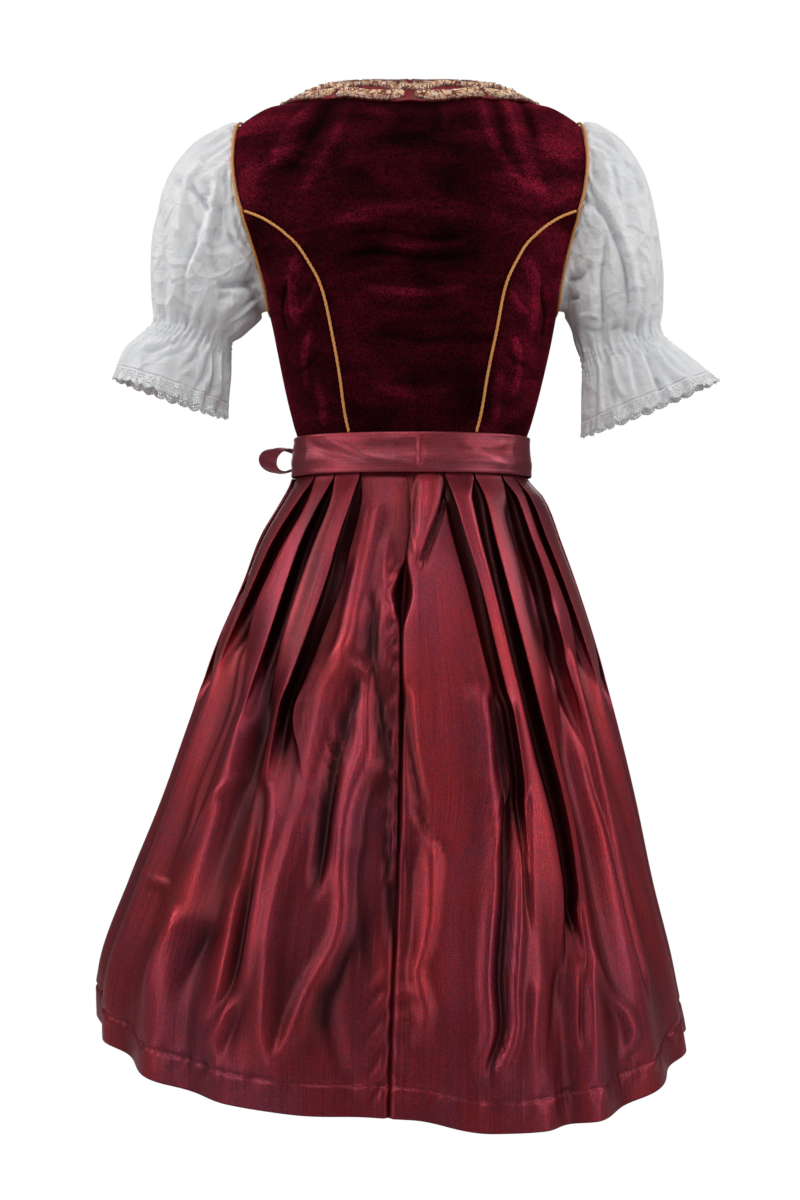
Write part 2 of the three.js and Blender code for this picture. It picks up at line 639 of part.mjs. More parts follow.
// The level outline at a height: angle in degrees from the centre back, off outwards.
function outlinePoint(table, angle, z, off) {
  const turn = radians(angle);
  const wide = read(table, "z", Math.sin(turn) > 0 ? "left" : "right", z);
  const deep = read(table, "z", Math.cos(turn) > 0 ? "back" : "front", z);
  const x = wide * Math.sin(turn);
  const flatness = FLATNESS * mix(1, 0.5, clamp((WAIST_Z - z) / 400, 0, 1));
  const y = deep * Math.cos(turn) * (1 + flatness * Math.sin(turn) ** 2);
  const normal = new THREE.Vector2(Math.sin(turn) / wide, Math.cos(turn) / deep).normalize();
  return new THREE.Vector3(x + normal.x * off, y + normal.y * off, z);
}

const skirtZ = (angle, down) => mix(WAIST_Z - SEAM_GAP, read(HEM, "angle", "z", compass(angle)), down);
const lineAngle = (line, down) =>
  down < 0.4 ? mix(line.waist, line.middle, down / 0.4) : mix(line.middle, line.hem, (down - 0.4) / 0.6);

// One pleat's section, from one folded edge to the next. t is the share of the way, beyond 0 or 1 where
// the cloth runs under an edge, and tall the share of the pleat's height.
const UNDER_START = [{ t: 0, tall: 1 }, { t: -1, tall: 0.4 }, { t: 0.12, tall: 0 }];
const UNDER_END = [{ t: 0.86, tall: 0 }, { t: 2, tall: 0.4 }];
const FACE_START = [{ t: 0, tall: 1 }, { t: 0.07, tall: 0.93 }, { t: 0.3, tall: 0.66 }];
const FACE_END = [{ t: 0.7, tall: 0.66 }, { t: 0.93, tall: 0.93 }];
const FLAT_START = [{ t: 0, tall: 0 }, { t: 0.15, tall: 0 }, { t: 0.35, tall: 0 }];
const FLAT_END = [{ t: 0.65, tall: 0 }, { t: 0.85, tall: 0 }];

const seamEdge = (turns) => ({
  waist: BACK_SEAM.waist + 360 * turns,
  middle: BACK_SEAM.middle + 360 * turns,
  hem: BACK_SEAM.hem + 360 * turns,
  tall: 0,
  seam: true,
});
const FOLD_LINES = [seamEdge(0), ...PLEATS, seamEdge(1)];
// The cloth's columns once round, each as the pleat it is in and its place in the section.
const SKIRT_COLUMNS = FOLD_LINES.slice(0, -1).flatMap((line, i) => {
  const next = FOLD_LINES[i + 1];
  const start = line.seam ? FLAT_START : line.waist < FRONT_CENTRE ? FACE_START : UNDER_START;
  const end = next.seam ? FLAT_END : next.waist < FRONT_CENTRE ? UNDER_END : FACE_END;
  const middleTall = (start === FACE_START ? 0.35 : 0) + (end === FACE_END ? 0.35 : 0);
  const underApron = line.waist > APRON.from && next.waist < APRON.to;
  const spots = [...start, ...(underApron ? [] : [{ t: 0.52, tall: middleTall }]), ...end];
  return spots.map((spot, k) => ({ line, next, spot, share: k / spots.length }));
});

function skirtPoint(column, down) {
  const { line, next, spot, share } = column;
  const height = read(PLEAT_LIFE, "down", "height", down);
  const sharp = read(PLEAT_LIFE, "down", "sharp", down);
  const undercut = PLEAT_UNDERCUT * read(PLEAT_LIFE, "down", "undercut", down);
  const from = lineAngle(line, down);
  const to = lineAngle(next, down);
  const size = mix(line.tall, next.tall, share);
  const z = skirtZ(mix(from, to, share), down);
  const reach = read(SKIRT, "z", "left", z);
  const under = THREE.MathUtils.radToDeg(undercut / reach) / (to - from);
  const knifeShare = spot.t < 0 ? -under : spot.t > 1 ? 1 + under : spot.t;
  const softTall = (line.seam || next.seam ? 0.5 : 1) * (0.5 + 0.5 * Math.cos(2 * Math.PI * share));
  const tall = size * height * mix(softTall, spot.tall, sharp);
  const angle = mix(from, to, mix(share, knifeShare, sharp));
  return outlinePoint(SKIRT, angle, z, tall);
}

// The placket is the stretch of the centre back seam that stays open.
const gape = (down) => {
  const t = clamp((down - PLACKET.from) / (PLACKET.to - PLACKET.from), 0, 1);
  return PLACKET.gape * Math.sin(Math.PI * t) ** 2;
};

function skirtPanel(name, outside, inside, first, last) {
  const count = outside[0].length;
  const cut = (grid, r) => {
    const column = (c) => grid[r][c % count].clone();
    const row = [...Array(last - first + 1).keys()].map((c) => column(first + c));
    const end = row.length - 1;
    const aside = (at, next, open) => {
      const way = outside[r][next % count].clone().sub(outside[r][at % count]).setZ(0).normalize();
      return way.multiplyScalar(SEAM_GAP / 2 + (open ? gape(SKIRT_ROWS[r]) / 2 : 0));
    };
    row[0].add(aside(first, first + 1, first === 0));
    row[end].add(aside(last, last - 1, last === count));
    return row;
  };
  const grids = [outside, inside].map((grid) => grid.map((_, r) => cut(grid, r)));
  add(name, wall(grids[0], grids[1], false), CLOTH.satin);
}

function skirt() {
  const outside = SKIRT_ROWS.map((down) => SKIRT_COLUMNS.map((column) => skirtPoint(column, down)));
  const inside = shifted(outside, -SATIN);
  // A side seam is hidden in the middle of a pleat's face.
  const columnNear = (waist) => SKIRT_COLUMNS.findIndex(({ next }) => next.waist > waist) + 3;
  const sideLeft = columnNear(81);
  const sideRight = columnNear(277) - 1;
  skirtPanel("skirt_back_left", outside, inside, 0, sideLeft);
  skirtPanel("skirt_front", outside, inside, sideLeft, sideRight);
  skirtPanel("skirt_back_right", outside, inside, sideRight, SKIRT_COLUMNS.length);
}

// ---------- Apron, band and bow ----------
const bandOff = (z) => read(BAND, "z", "off", z);

function apronBand() {
  const turns = steps(BAND_COLUMNS).slice(0, -1).map((t) => 2 * Math.PI * t);
  const level = (z, off) => turns.map((theta) => skin(theta, z - CHEST_Z, off));
  const ringAt = (extra) => BAND.map(({ z, off }) => level(z, off + extra));
  add("apron_band", wall(ringAt(SATIN), ringAt(0), true), CLOTH.satin);
}

// How far the apron's outside hangs off the bottom of the skirt's folds.
function apronOff(down) {
  const hung = FRONT_TALL * read(PLEAT_LIFE, "down", "height", down) + APRON.clear;
  return SATIN + mix(bandOff(BAND_BOTTOM_Z), hung, clamp(down / APRON.settled, 0, 1));
}

const apronZ = (t) => mix(BAND_BOTTOM_Z - SEAM_GAP, APRON_HEM_Z, t);
function apronPoint(angle, t, extra) {
  const z = apronZ(t);
  const down = (z - WAIST_Z) / (FRONT_HEM_Z - WAIST_Z);
  const share = (angle - APRON.from) / (APRON.to - APRON.from);
  const gather = APRON.gatherHeight * (0.5 - 0.5 * Math.cos(2 * Math.PI * APRON.gathers * share));
  const wave = APRON.waveHeight * (0.5 - 0.5 * Math.cos(2 * Math.PI * APRON.waves * share + 0.6));
  return outlinePoint(SKIRT, angle, z, apronOff(down) + mix(gather, wave, opened(t)) + extra);
}
// The gathers at the apron's top have opened into its waves some way above its hem.
const opened = (t) => clamp(t * 1.3, 0, 1);

function apron() {
  const angles = steps(APRON.columns).map((t) => mix(APRON.from, APRON.to, t));
  const grid = (extra) => APRON.rows.map((t) => angles.map((angle) => apronPoint(angle, t, extra)));
  add("apron_panel", wall(grid(0), grid(-SATIN), false), CLOTH.satin);
}

// A ribbon along a path: across is the way its width points at each step.
function ribbon(path, across, width, thickness) {
  const last = path.length - 1;
  const side = (sign) =>
    [-0.5, 0.5].map((w) =>
      path.map((p, i) => {
        const ahead = path[Math.min(i + 1, last)].clone().sub(path[Math.max(i - 1, 0)]).normalize();
        const off = ahead.cross(across[i]).setLength((sign * thickness) / 2);
        return p.clone().addScaledVector(across[i], w * width[i]).add(off);
      }),
    );
  return wall(side(1), side(-1), false);
}

function bow() {
  const theta = radians(BOW.angle);
  const centreZ = (BAND_TOP_Z + BAND_BOTTOM_Z) / 2;
  const rise = centreZ - CHEST_Z;
  const out = formNormal(theta, rise).setZ(0).normalize();
  const around = new THREE.Vector3(0, 0, 1).cross(out); // towards the centre front
  const up = new THREE.Vector3(0, 0, 1);
  const seat = skin(theta, rise, bandOff(centreZ) + SATIN + SEAM_GAP);
  const place = (a, b, c) =>
    seat.clone().addScaledVector(around, a).addScaledVector(up, b).addScaledVector(out, c);

  const { width, height, depth } = BOW.knot;
  const rings = [-1, -0.7, 0, 0.7, 1].map((t) => {
    const swell = 1 - 0.22 * t * t;
    return steps(10).slice(0, -1).map((s) => {
      const turn = 2 * Math.PI * s;
      return place(
        (width / 2) * swell * Math.cos(turn),
        (height / 2) * t,
        depth / 2 + (depth / 2) * swell * Math.sin(turn),
      );
    });
  });
  add("bow_knot", cappedTube(rings), CLOTH.satin);

  const start = width / 2 + SEAM_GAP + SATIN / 2;
  for (const { name, way, reach, droop, tilt } of BOW.loops) {
    const path = [];
    const across = [];
    const sizes = [];
    for (const t of steps(20)) {
      const turn = Math.PI * (2 * t - 1);
      const along = 0.5 + 0.5 * Math.cos(turn);
      const open = Math.sin(turn) * along ** 0.5;
      const high = droop * along + BOW.loopHeight * open + 3;
      const away = depth / 2 + BOW.loopLift * along + Math.sin(turn);
      path.push(place(way * mix(start, reach, along), high, away));
      const lean = way * (tilt * Math.sin(turn) + 0.12);
      across.push(out.clone().addScaledVector(around, lean).normalize());
      sizes.push(mix(BOW.crush.width, BOW.crush.far, along ** 0.6));
    }
    add(name, ribbon(path, across, sizes, SATIN), CLOTH.satin);
  }

  const top = centreZ - height / 2 - BOW.tailGap;
  for (const { name, from, to, length } of BOW.tails) {
    const at = (t, w, off) => {
      const z = top - t * length - (t === 1 ? BOW.tailSlant * w : 0);
      const halfWidth = mix(BOW.tailTop, BOW.ribbon / 2, clamp(t * 3, 0, 1));
      const spread = THREE.MathUtils.radToDeg((w * halfWidth) / read(SKIRT, "z", "left", z));
      return overApron(BOW.angle + mix(from, to, t) + spread, z, off);
    };
    const grid = (off) => BOW.tailRows.map((t) => [-1, 0, 1].map((w) => at(t, w, off)));
    add(name, wall(grid(BOW.tailLift + SATIN), grid(BOW.tailLift), false), CLOTH.satin);
  }
}

// A point over the band or over the crests of the apron below it.
function overApron(angle, z, off) {
  const onBand = skin(radians(angle), z - CHEST_Z, bandOff(z) + SATIN + off);
  const t = clamp((BAND_BOTTOM_Z - z) / (BAND_BOTTOM_Z - APRON_HEM_Z), 0, 1);
  const down = (z - WAIST_Z) / (FRONT_HEM_Z - WAIST_Z);
  const hang = mix(APRON.gatherHeight, APRON.waveHeight, opened(t));
  const onApron = outlinePoint(SKIRT, angle, z, apronOff(down) + hang + off);
  return onBand.lerp(onApron, clamp((BAND_BOTTOM_Z + BOW.tailTurn / 3 - z) / BOW.tailTurn, 0, 1));
}

// A solid from closed rings, with a flat fan over each end.
function cappedTube(rings) {
  const count = rings[0].length;
  const positions = rings.flat().flatMap((p) => [p.x, p.y, p.z]);
  const faces = [];
  for (let r = 0; r < rings.length - 1; r++)
    for (let c = 0; c < count; c++) {
      const next = (c + 1) % count;
      faces.push(r * count + c, r * count + next, (r + 1) * count + next);
      faces.push(r * count + c, (r + 1) * count + next, (r + 1) * count + c);
    }
  const top = (rings.length - 1) * count;
  for (let c = 1; c < count - 1; c++) {
    faces.push(0, c + 1, c);
    faces.push(top, top + c, top + c + 1);
  }
  return solid(positions, faces);
}

// ---------- Blouse ----------
const BLOUSE_OFF = -(VELVET + 3.6); // its outside lies under the velvet
// The blouse's neckline shows in the front neckline of the bodice and stays under the velvet behind.
const BLOUSE_NECK_FRONT = [
  { x: 0, z: -108 },
  { x: 45, z: -104 },
  { x: 82, z: -88 },
  { x: 106, z: -50 },
  { x: 112, z: 10 },
];
const BLOUSE_NECK_BACK = [
  { x: 0, z: -30 },
  { x: 50, z: -26 },
  { x: 90, z: -10 },
  { x: 112, z: 10 },
];

function blouseBody() {
  const hemRise = BLOUSE_HEM_Z - CHEST_Z;
  const seam = straight(new THREE.Vector2((CHART * Math.PI) / 2, hemRise), underarm);
  const armholeUp = new THREE.SplineCurve([...armholeSide.points].reverse());
  const neckFrontLine = chartLine(BLOUSE_NECK_FRONT, true);
  const neckBackLine = chartLine(BLOUSE_NECK_BACK, false);
  const parts = [
    { name: "blouse_front", middle: CHART * Math.PI, neck: neckFrontLine, hole: [armholeFront], sideways: 1 },
    { name: "blouse_back", middle: 0, neck: neckBackLine, hole: [armholeUp, armholeBack], sideways: -1 },
  ];
  for (const { name, middle, neck, hole, sideways } of parts) {
    const side = chain(seam, ...hole);
    const top = chain(neck, straight(neck.getPoint(1), side.getPoint(1)));
    const foot = new THREE.Vector2(middle, hemRise);
    const make = (off) => crossingPanel(foot, top, (v) => side.getPointAt(v), steps(11), 5, sideways, off);
    add(name, wall(make(BLOUSE_OFF), make(BLOUSE_OFF - COTTON), false), CLOTH.cotton);
  }
}

// Where a sleeve starts: inset is from the edge of the armhole into the hole, off is from the velvet.
const SLEEVE_START = [
  { inset: 1.9, off: BLOUSE_OFF },
  { inset: 5, off: 0 },
  { inset: 5.4, off: 4 },
];
const HOLE_MIDDLE = new THREE.Vector3(166, -12, -112);

// The sleeve's rings, each a closed row of points: turn 0 is the top of the shoulder, a quarter is behind.
function sleeveRings(table) {
  const loop = armholeLoop(SLEEVE_COLUMNS);
  const onHole = (p, { inset, off }) => {
    const point = onChart(p, off);
    return point.addScaledVector(HOLE_MIDDLE.clone().sub(point).normalize(), inset);
  };
  const rings = SLEEVE_START.map((start) => loop.map((p) => onHole(p, start)));
  const hole = loop.map((p) => onHole(p, { inset: 2.8, off: 4 }));
  for (const row of table) {
    const top = new THREE.Vector3(row.outX, row.y, row.outZ);
    const bottom = new THREE.Vector3(row.inX, row.y, row.inZ);
    const centre = top.clone().lerp(bottom, 0.5);
    const arm = top.clone().sub(centre);
    const reach = arm.length();
    rings.push(
      steps(SLEEVE_COLUMNS).slice(0, -1).map((s, i) => {
        const turn = 2 * Math.PI * s;
        const swell = (i % 2 ? -0.5 : 0.5) * row.gather;
        const ellipse = centre
          .clone()
          .addScaledVector(arm, Math.cos(turn) * (1 + swell / reach))
          .add(new THREE.Vector3(0, (row.depth + swell) * Math.sin(turn), 0));
        const own = hole[i].clone().add(centre).sub(HOLE_MIDDLE);
        return ellipse.lerp(own, row.follow);
      }),
    );
  }
  return rings;
}

function sleeves() {
  for (const [side, table, flip] of [["left", SLEEVE_LEFT, 1], ["right", SLEEVE_RIGHT, -1]]) {
    const outside = sleeveRings(table);
    const inside = shifted(outside, COTTON);
    const turned = flip > 0 ? (grid) => grid : mirror;
    add("sleeve_" + side, wall(turned(outside), turned(inside), true), CLOTH.cotton);
    laceEdge("lace_" + side, table, turned);
  }
}

function laceEdge(name, table, turned) {
  const row = table[table.length - 1];
  const above = table[table.length - 2];
  const top = new THREE.Vector3(row.outX, row.y, row.outZ);
  const bottom = new THREE.Vector3(row.inX, row.y, row.inZ);
  const outward = top.clone().sub(new THREE.Vector3(above.outX, above.y, above.outZ)).normalize();
  const inward = bottom.clone().sub(new THREE.Vector3(above.inX, above.y, above.inZ)).normalize();
  const centre = top.clone().lerp(bottom, 0.5);
  const arm = top.clone().sub(centre);
  const ringAt = (drop, shrink) =>
    steps(LACE.columns).slice(0, -1).map((s, i) => {
      const turn = 2 * Math.PI * s;
      const way = inward.clone().lerp(outward, 0.5 + 0.5 * Math.cos(turn));
      const fall = drop === LACE.drop && i % 2 ? drop + LACE.scallop : drop;
      return centre
        .clone()
        .addScaledVector(arm, Math.cos(turn) * (1 - shrink / arm.length()))
        .add(new THREE.Vector3(0, (row.depth - shrink) * Math.sin(turn), 0))
        .addScaledVector(way, fall);
    });
  const outside = [ringAt(LACE.gap, 0), ringAt(LACE.drop, -LACE.flare)];
  const inside = [ringAt(LACE.gap, LACE.thickness), ringAt(LACE.drop, LACE.thickness - LACE.flare)];
  add(name, wall(turned(outside), turned(inside), true), CLOTH.lace);
}

// ---------- Everything ----------
backPanel();
sideBackPanels();
frontPanels();
pipings();
neckTrims();
skirt();
apronBand();
apron();
bow();
blouseBody();
sleeves();

export default garment;
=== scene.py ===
"""A dirndl with its blouse and apron: the sewn cloth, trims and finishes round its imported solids.

Laid out as a Blender add-on: one operator makes each piece or group of like pieces, and main() calls
them in order. Measures are in millimetres in the tables and in metres on the finished meshes. +Z is up,
the wearer faces -Y and their left is +X. Angles run round the figure from the centre back, positive
round the wearer's left.
"""

import math

import bpy
import numpy as np
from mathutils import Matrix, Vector


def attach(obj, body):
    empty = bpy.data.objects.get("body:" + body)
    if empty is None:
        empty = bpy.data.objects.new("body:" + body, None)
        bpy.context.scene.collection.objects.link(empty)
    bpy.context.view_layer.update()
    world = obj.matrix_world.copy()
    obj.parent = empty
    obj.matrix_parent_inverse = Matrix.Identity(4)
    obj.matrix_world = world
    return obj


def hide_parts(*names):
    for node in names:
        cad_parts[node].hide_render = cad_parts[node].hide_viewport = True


bl_info = {
    "name": "Dirndl",
    "version": (1, 0, 0),
    "blender": (4, 5, 0),
    "location": "View3D > Sidebar > Dirndl",
    "description": "Sews a dirndl, its apron and its blouse round their packed solids",
    "category": "Object",
}

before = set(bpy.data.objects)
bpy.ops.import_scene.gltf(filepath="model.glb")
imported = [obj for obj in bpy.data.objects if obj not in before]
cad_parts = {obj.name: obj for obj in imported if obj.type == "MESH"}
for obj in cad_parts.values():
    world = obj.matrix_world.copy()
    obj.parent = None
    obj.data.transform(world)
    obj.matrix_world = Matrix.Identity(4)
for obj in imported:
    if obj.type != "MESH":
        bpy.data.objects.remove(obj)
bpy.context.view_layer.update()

MM = 0.001
SEED = 7

# ---------- Walls, heights and the figure, as the solids have them ----------
VELVET, SATIN, COTTON = 1.6, 1.2, 1.0
SEAM_GAP = 0.3
# Walls of the finer shells, where they are thinner than the solids'
SKIRT_WALL, APRON_WALL, RIBBON_WALL, COTTON_WALL = SATIN * 0.75, SATIN * 0.7, SATIN * 0.35, COTTON * 0.7
CHEST_Z, SHOULDER_ARC = -150, 180
WAIST_Z, BAND_TOP_Z, BAND_BOTTOM_Z = -371, -349, -391
FRONT_HEM_Z, APRON_HEM_Z, BLOUSE_HEM_Z = -988, -944, -290
FLATNESS = 0.12
CHART = 120

# rise, half width, depth behind, depth in front
FORM = [
    (-260, 123, 85, 96),
    (-221, 120.5, 80, 91),
    (-199, 121.5, 81, 93),
    (-188, 125, 83, 96),
    (-158, 133, 90, 106),
    (-110, 143.5, 98, 118),
    (-66, 152.5, 103, 125),
    (-40, 160, 105, 126),
    (0, 177, 107, 120),
    (35, 200, 107, 116),
    (71, 213, 107, 112),
    (120, 222, 107, 108),
    (180, 226, 107, 105),
]
# distance from the middle, height of the shoulder ridge
SHOULDER = [
    (0, 38),
    (60, 27),
    (80, 20.5),
    (100, 12.5),
    (122, 5),
    (146, 0.5),
    (160, -6),
    (177, -17),
    (200, -33),
    (235, -52),
]
# height, sideways lean of the figure
LEAN = [(60, 0), (-120, 0), (-230, -3.5), (-300, -3), (-391, -1.5), (-500, 0), (-1100, 0)]

# Cutting lines on the wearer's left: x, z
PRINCESS_SEAM = [
    (62, WAIST_Z),
    (68.5, -331),
    (74.5, -291),
    (83.5, -244),
    (92.5, -203),
    (105, -176.5),
    (121, -153.5),
    (146, -132.5),
    (173, -118),
]
ARMHOLE_BACK = [(173, -118), (180, -90), (182.5, -66), (182, -42), (177, -17)]
ARMHOLE_SIDE = [(173, -118), (165, -146), (158, -172), (153.3, -196), (151, -216)]
ARMHOLE_FRONT = [
    (151, -216),
    (147, -195),
    (146, -165),
    (150, -130),
    (158, -90),
    (168, -50),
    (177, -17),
]
NECK_BACK = [(0, 12.5), (40, 14.5), (70, 17), (97, 13.8)]
NECK_FRONT = [(0, -150), (48, -146), (76, -128), (89, -92), (95, -50), (97, 13.8)]
BLOUSE_NECK_FRONT = [(0, -108), (45, -104), (82, -88), (106, -50), (112, 10)]
BLOUSE_NECK_BACK = [(0, -30), (50, -26), (90, -10), (112, 10)]
BLOUSE_OFF = -(VELVET + 3.6)

# Skirt: height, reach to the left, right, back and front of the cloth in the bottom of the folds
SKIRT = [
    (-371, 118.5, 118.5, 79.5, 90.5),
    (-391, 119, 119.5, 81, 92),
    (-414, 128, 134, 93, 102),
    (-456, 148, 148, 112, 120),
    (-499, 163, 163, 131, 139),
    (-562, 190, 183, 158, 163),
    (-647, 221, 207, 187, 192),
    (-732, 253, 229, 212, 215),
    (-817, 289, 248, 232, 235),
    (-902, 320, 270, 249, 248),
    (-1010, 323, 290, 260, 258),
]
# angle, height of the hem
HEM = [
    (-180, FRONT_HEM_Z),
    (-120, -980),
    (-90, -967),
    (-65, -984),
    (-42, -1004),
    (-15, -1009),
    (0, -996),
    (20, -993),
    (45, -982),
    (65, -962),
    (90, -949),
    (120, -972),
    (180, FRONT_HEM_Z),
]
# Folded edges of the knife pleats. angles: at shares of the skirt's length from the waist down
# (0, 0.1, 0.2, 0.3, 0.4, 0.6, 1). tall: how far the pleat stands off. wedge: width of the recess beside
# it. foot: share down at which it has opened out.
PLEAT_SHARES = (0, 0.1, 0.2, 0.3, 0.4, 0.6, 1)
FRONT_TALL = 9
PLEATS = [
    ((25.8, 25.6, 27.5, 29.8, 32.6, 32.4, 31), 21, 8.5, 0.5),
    ((40, 41, 43, 43, 44.5, 47, 50), 20, 10.5, 0.37),
    ((54, 57, 62, 63.5, 65, 67, 68), 17, 14, 0.32),
    ((76, 78, 81, 82.5, 83, 83.5, 84), 12, 8, 0.4),
    ((98, 98.5, 99, 99.5, 100, 100.4, 101), FRONT_TALL, 6, 0.5),
    ((117, 117, 117.5, 118, 118, 118.5, 119), FRONT_TALL, 6, 0.5),
    ((137, 137, 137, 137, 137, 137, 137), FRONT_TALL, 6, 0.5),
    ((158, 158, 157.5, 157, 157, 156.7, 156), FRONT_TALL, 6, 0.5),
    ((199, 199, 199.5, 200, 200, 200.4, 201), FRONT_TALL, 6, 0.5),
    ((218, 218, 218, 218, 218, 218.7, 220), FRONT_TALL, 6, 0.5),
    ((238, 238, 238, 238, 238, 238.4, 239), FRONT_TALL, 6, 0.5),
    ((259, 259, 258.5, 258, 258, 258, 258), FRONT_TALL, 6, 0.5),
    ((276, 276, 275.5, 275, 275, 274.7, 274), 11, 7, 0.4),
    ((299.2, 300, 297.7, 296, 294, 290, 286), 14, 9, 0.34),
    ((310.7, 311.3, 310, 310.5, 309.5, 308, 306), 18, 16, 0.4),
    ((328.2, 329.6, 329, 327.7, 326, 322.4, 324), 24, 15, 0.74),
    ((345.5, 341.4, 337.8, 335.8, 334, 333.4, 336), 19, 9, 0.6),
]
FRONT_CENTRE = 180
BACK_SEAM = (3.5, 0.4, 2.2, 2.8, 2.4, 2.6, 3.8)
# share down the skirt: a pleat's height and its undercut
PLEAT_LIFE = [
    (0, 0.15, 0),
    (0.035, 0.2, 0.1),
    (0.07, 0.6, 0.7),
    (0.12, 0.85, 1),
    (0.25, 1, 1),
    (0.45, 1, 0.9),
    (0.65, 0.8, 0.8),
    (0.85, 0.65, 0.5),
    (1, 0.5, 0),
]
PLEAT_OPENS = 0.1
PLEAT_UNDERCUT = 9

APRON_FROM, APRON_TO = 93, 262
APRON_GATHERS, GATHER_HEIGHT, APRON_WAVES, WAVE_HEIGHT = 20, 2.6, 7, 5
APRON_CLEAR, APRON_SETTLED, APRON_HEM_SHARE = 2.6, 0.12, 0.957
# height, clearance inside the band
BAND = [(BAND_TOP_Z, 2.4), (-366, 3.9), (WAIST_Z, 4.4), (BAND_BOTTOM_Z, 4.4)]

# Sleeve rings: outer end x and z, inner end x and z, half depth, y, share kept of the armhole's shape
SLEEVE_LEFT = [
    (189, -13, 153, -210, 58, -12, 0.8),
    (207, -21, 155, -212, 60, -11, 0.45),
    (233, -38, 158, -215, 62, -8, 0.15),
    (255, -70, 161, -220, 63, -6, 0),
    (269, -118, 166, -226, 61, -4, 0),
    (276, -170, 173, -232, 57, -4, 0),
    (275, -207, 183, -239, 49, -4, 0),
    (275, -226, 193, -246, 40, -4, 0),
    (286, -237, 194, -258, 41, -4, 0),
    (304, -254, 194, -282, 50, -4, 0),
    (312, -272, 196, -312, 57, -4, 0),
]
SLEEVE_RIGHT = [
    (190, -12, 153, -210, 58, -12, 0.8),
    (208, -18, 155, -212, 60, -11, 0.45),
    (231, -37, 159, -215, 62, -8, 0.15),
    (249, -70, 162, -220, 63, -6, 0),
    (261, -118, 165, -226, 61, -4, 0),
    (267, -170, 168, -233, 57, -4, 0),
    (265, -207, 171, -243, 49, -4, 0),
    (261, -230, 176, -257, 40, -4, 0),
    (267, -243, 180, -271, 41, -4, 0),
    (289, -261, 180, -299, 50, -4, 0),
    (312, -279, 180, -332, 57, -4, 0),
]
SLEEVE_START = [(1.9, BLOUSE_OFF), (5, 0), (5.4, 4)]
HOLE_MIDDLE = (166, -12, -112)

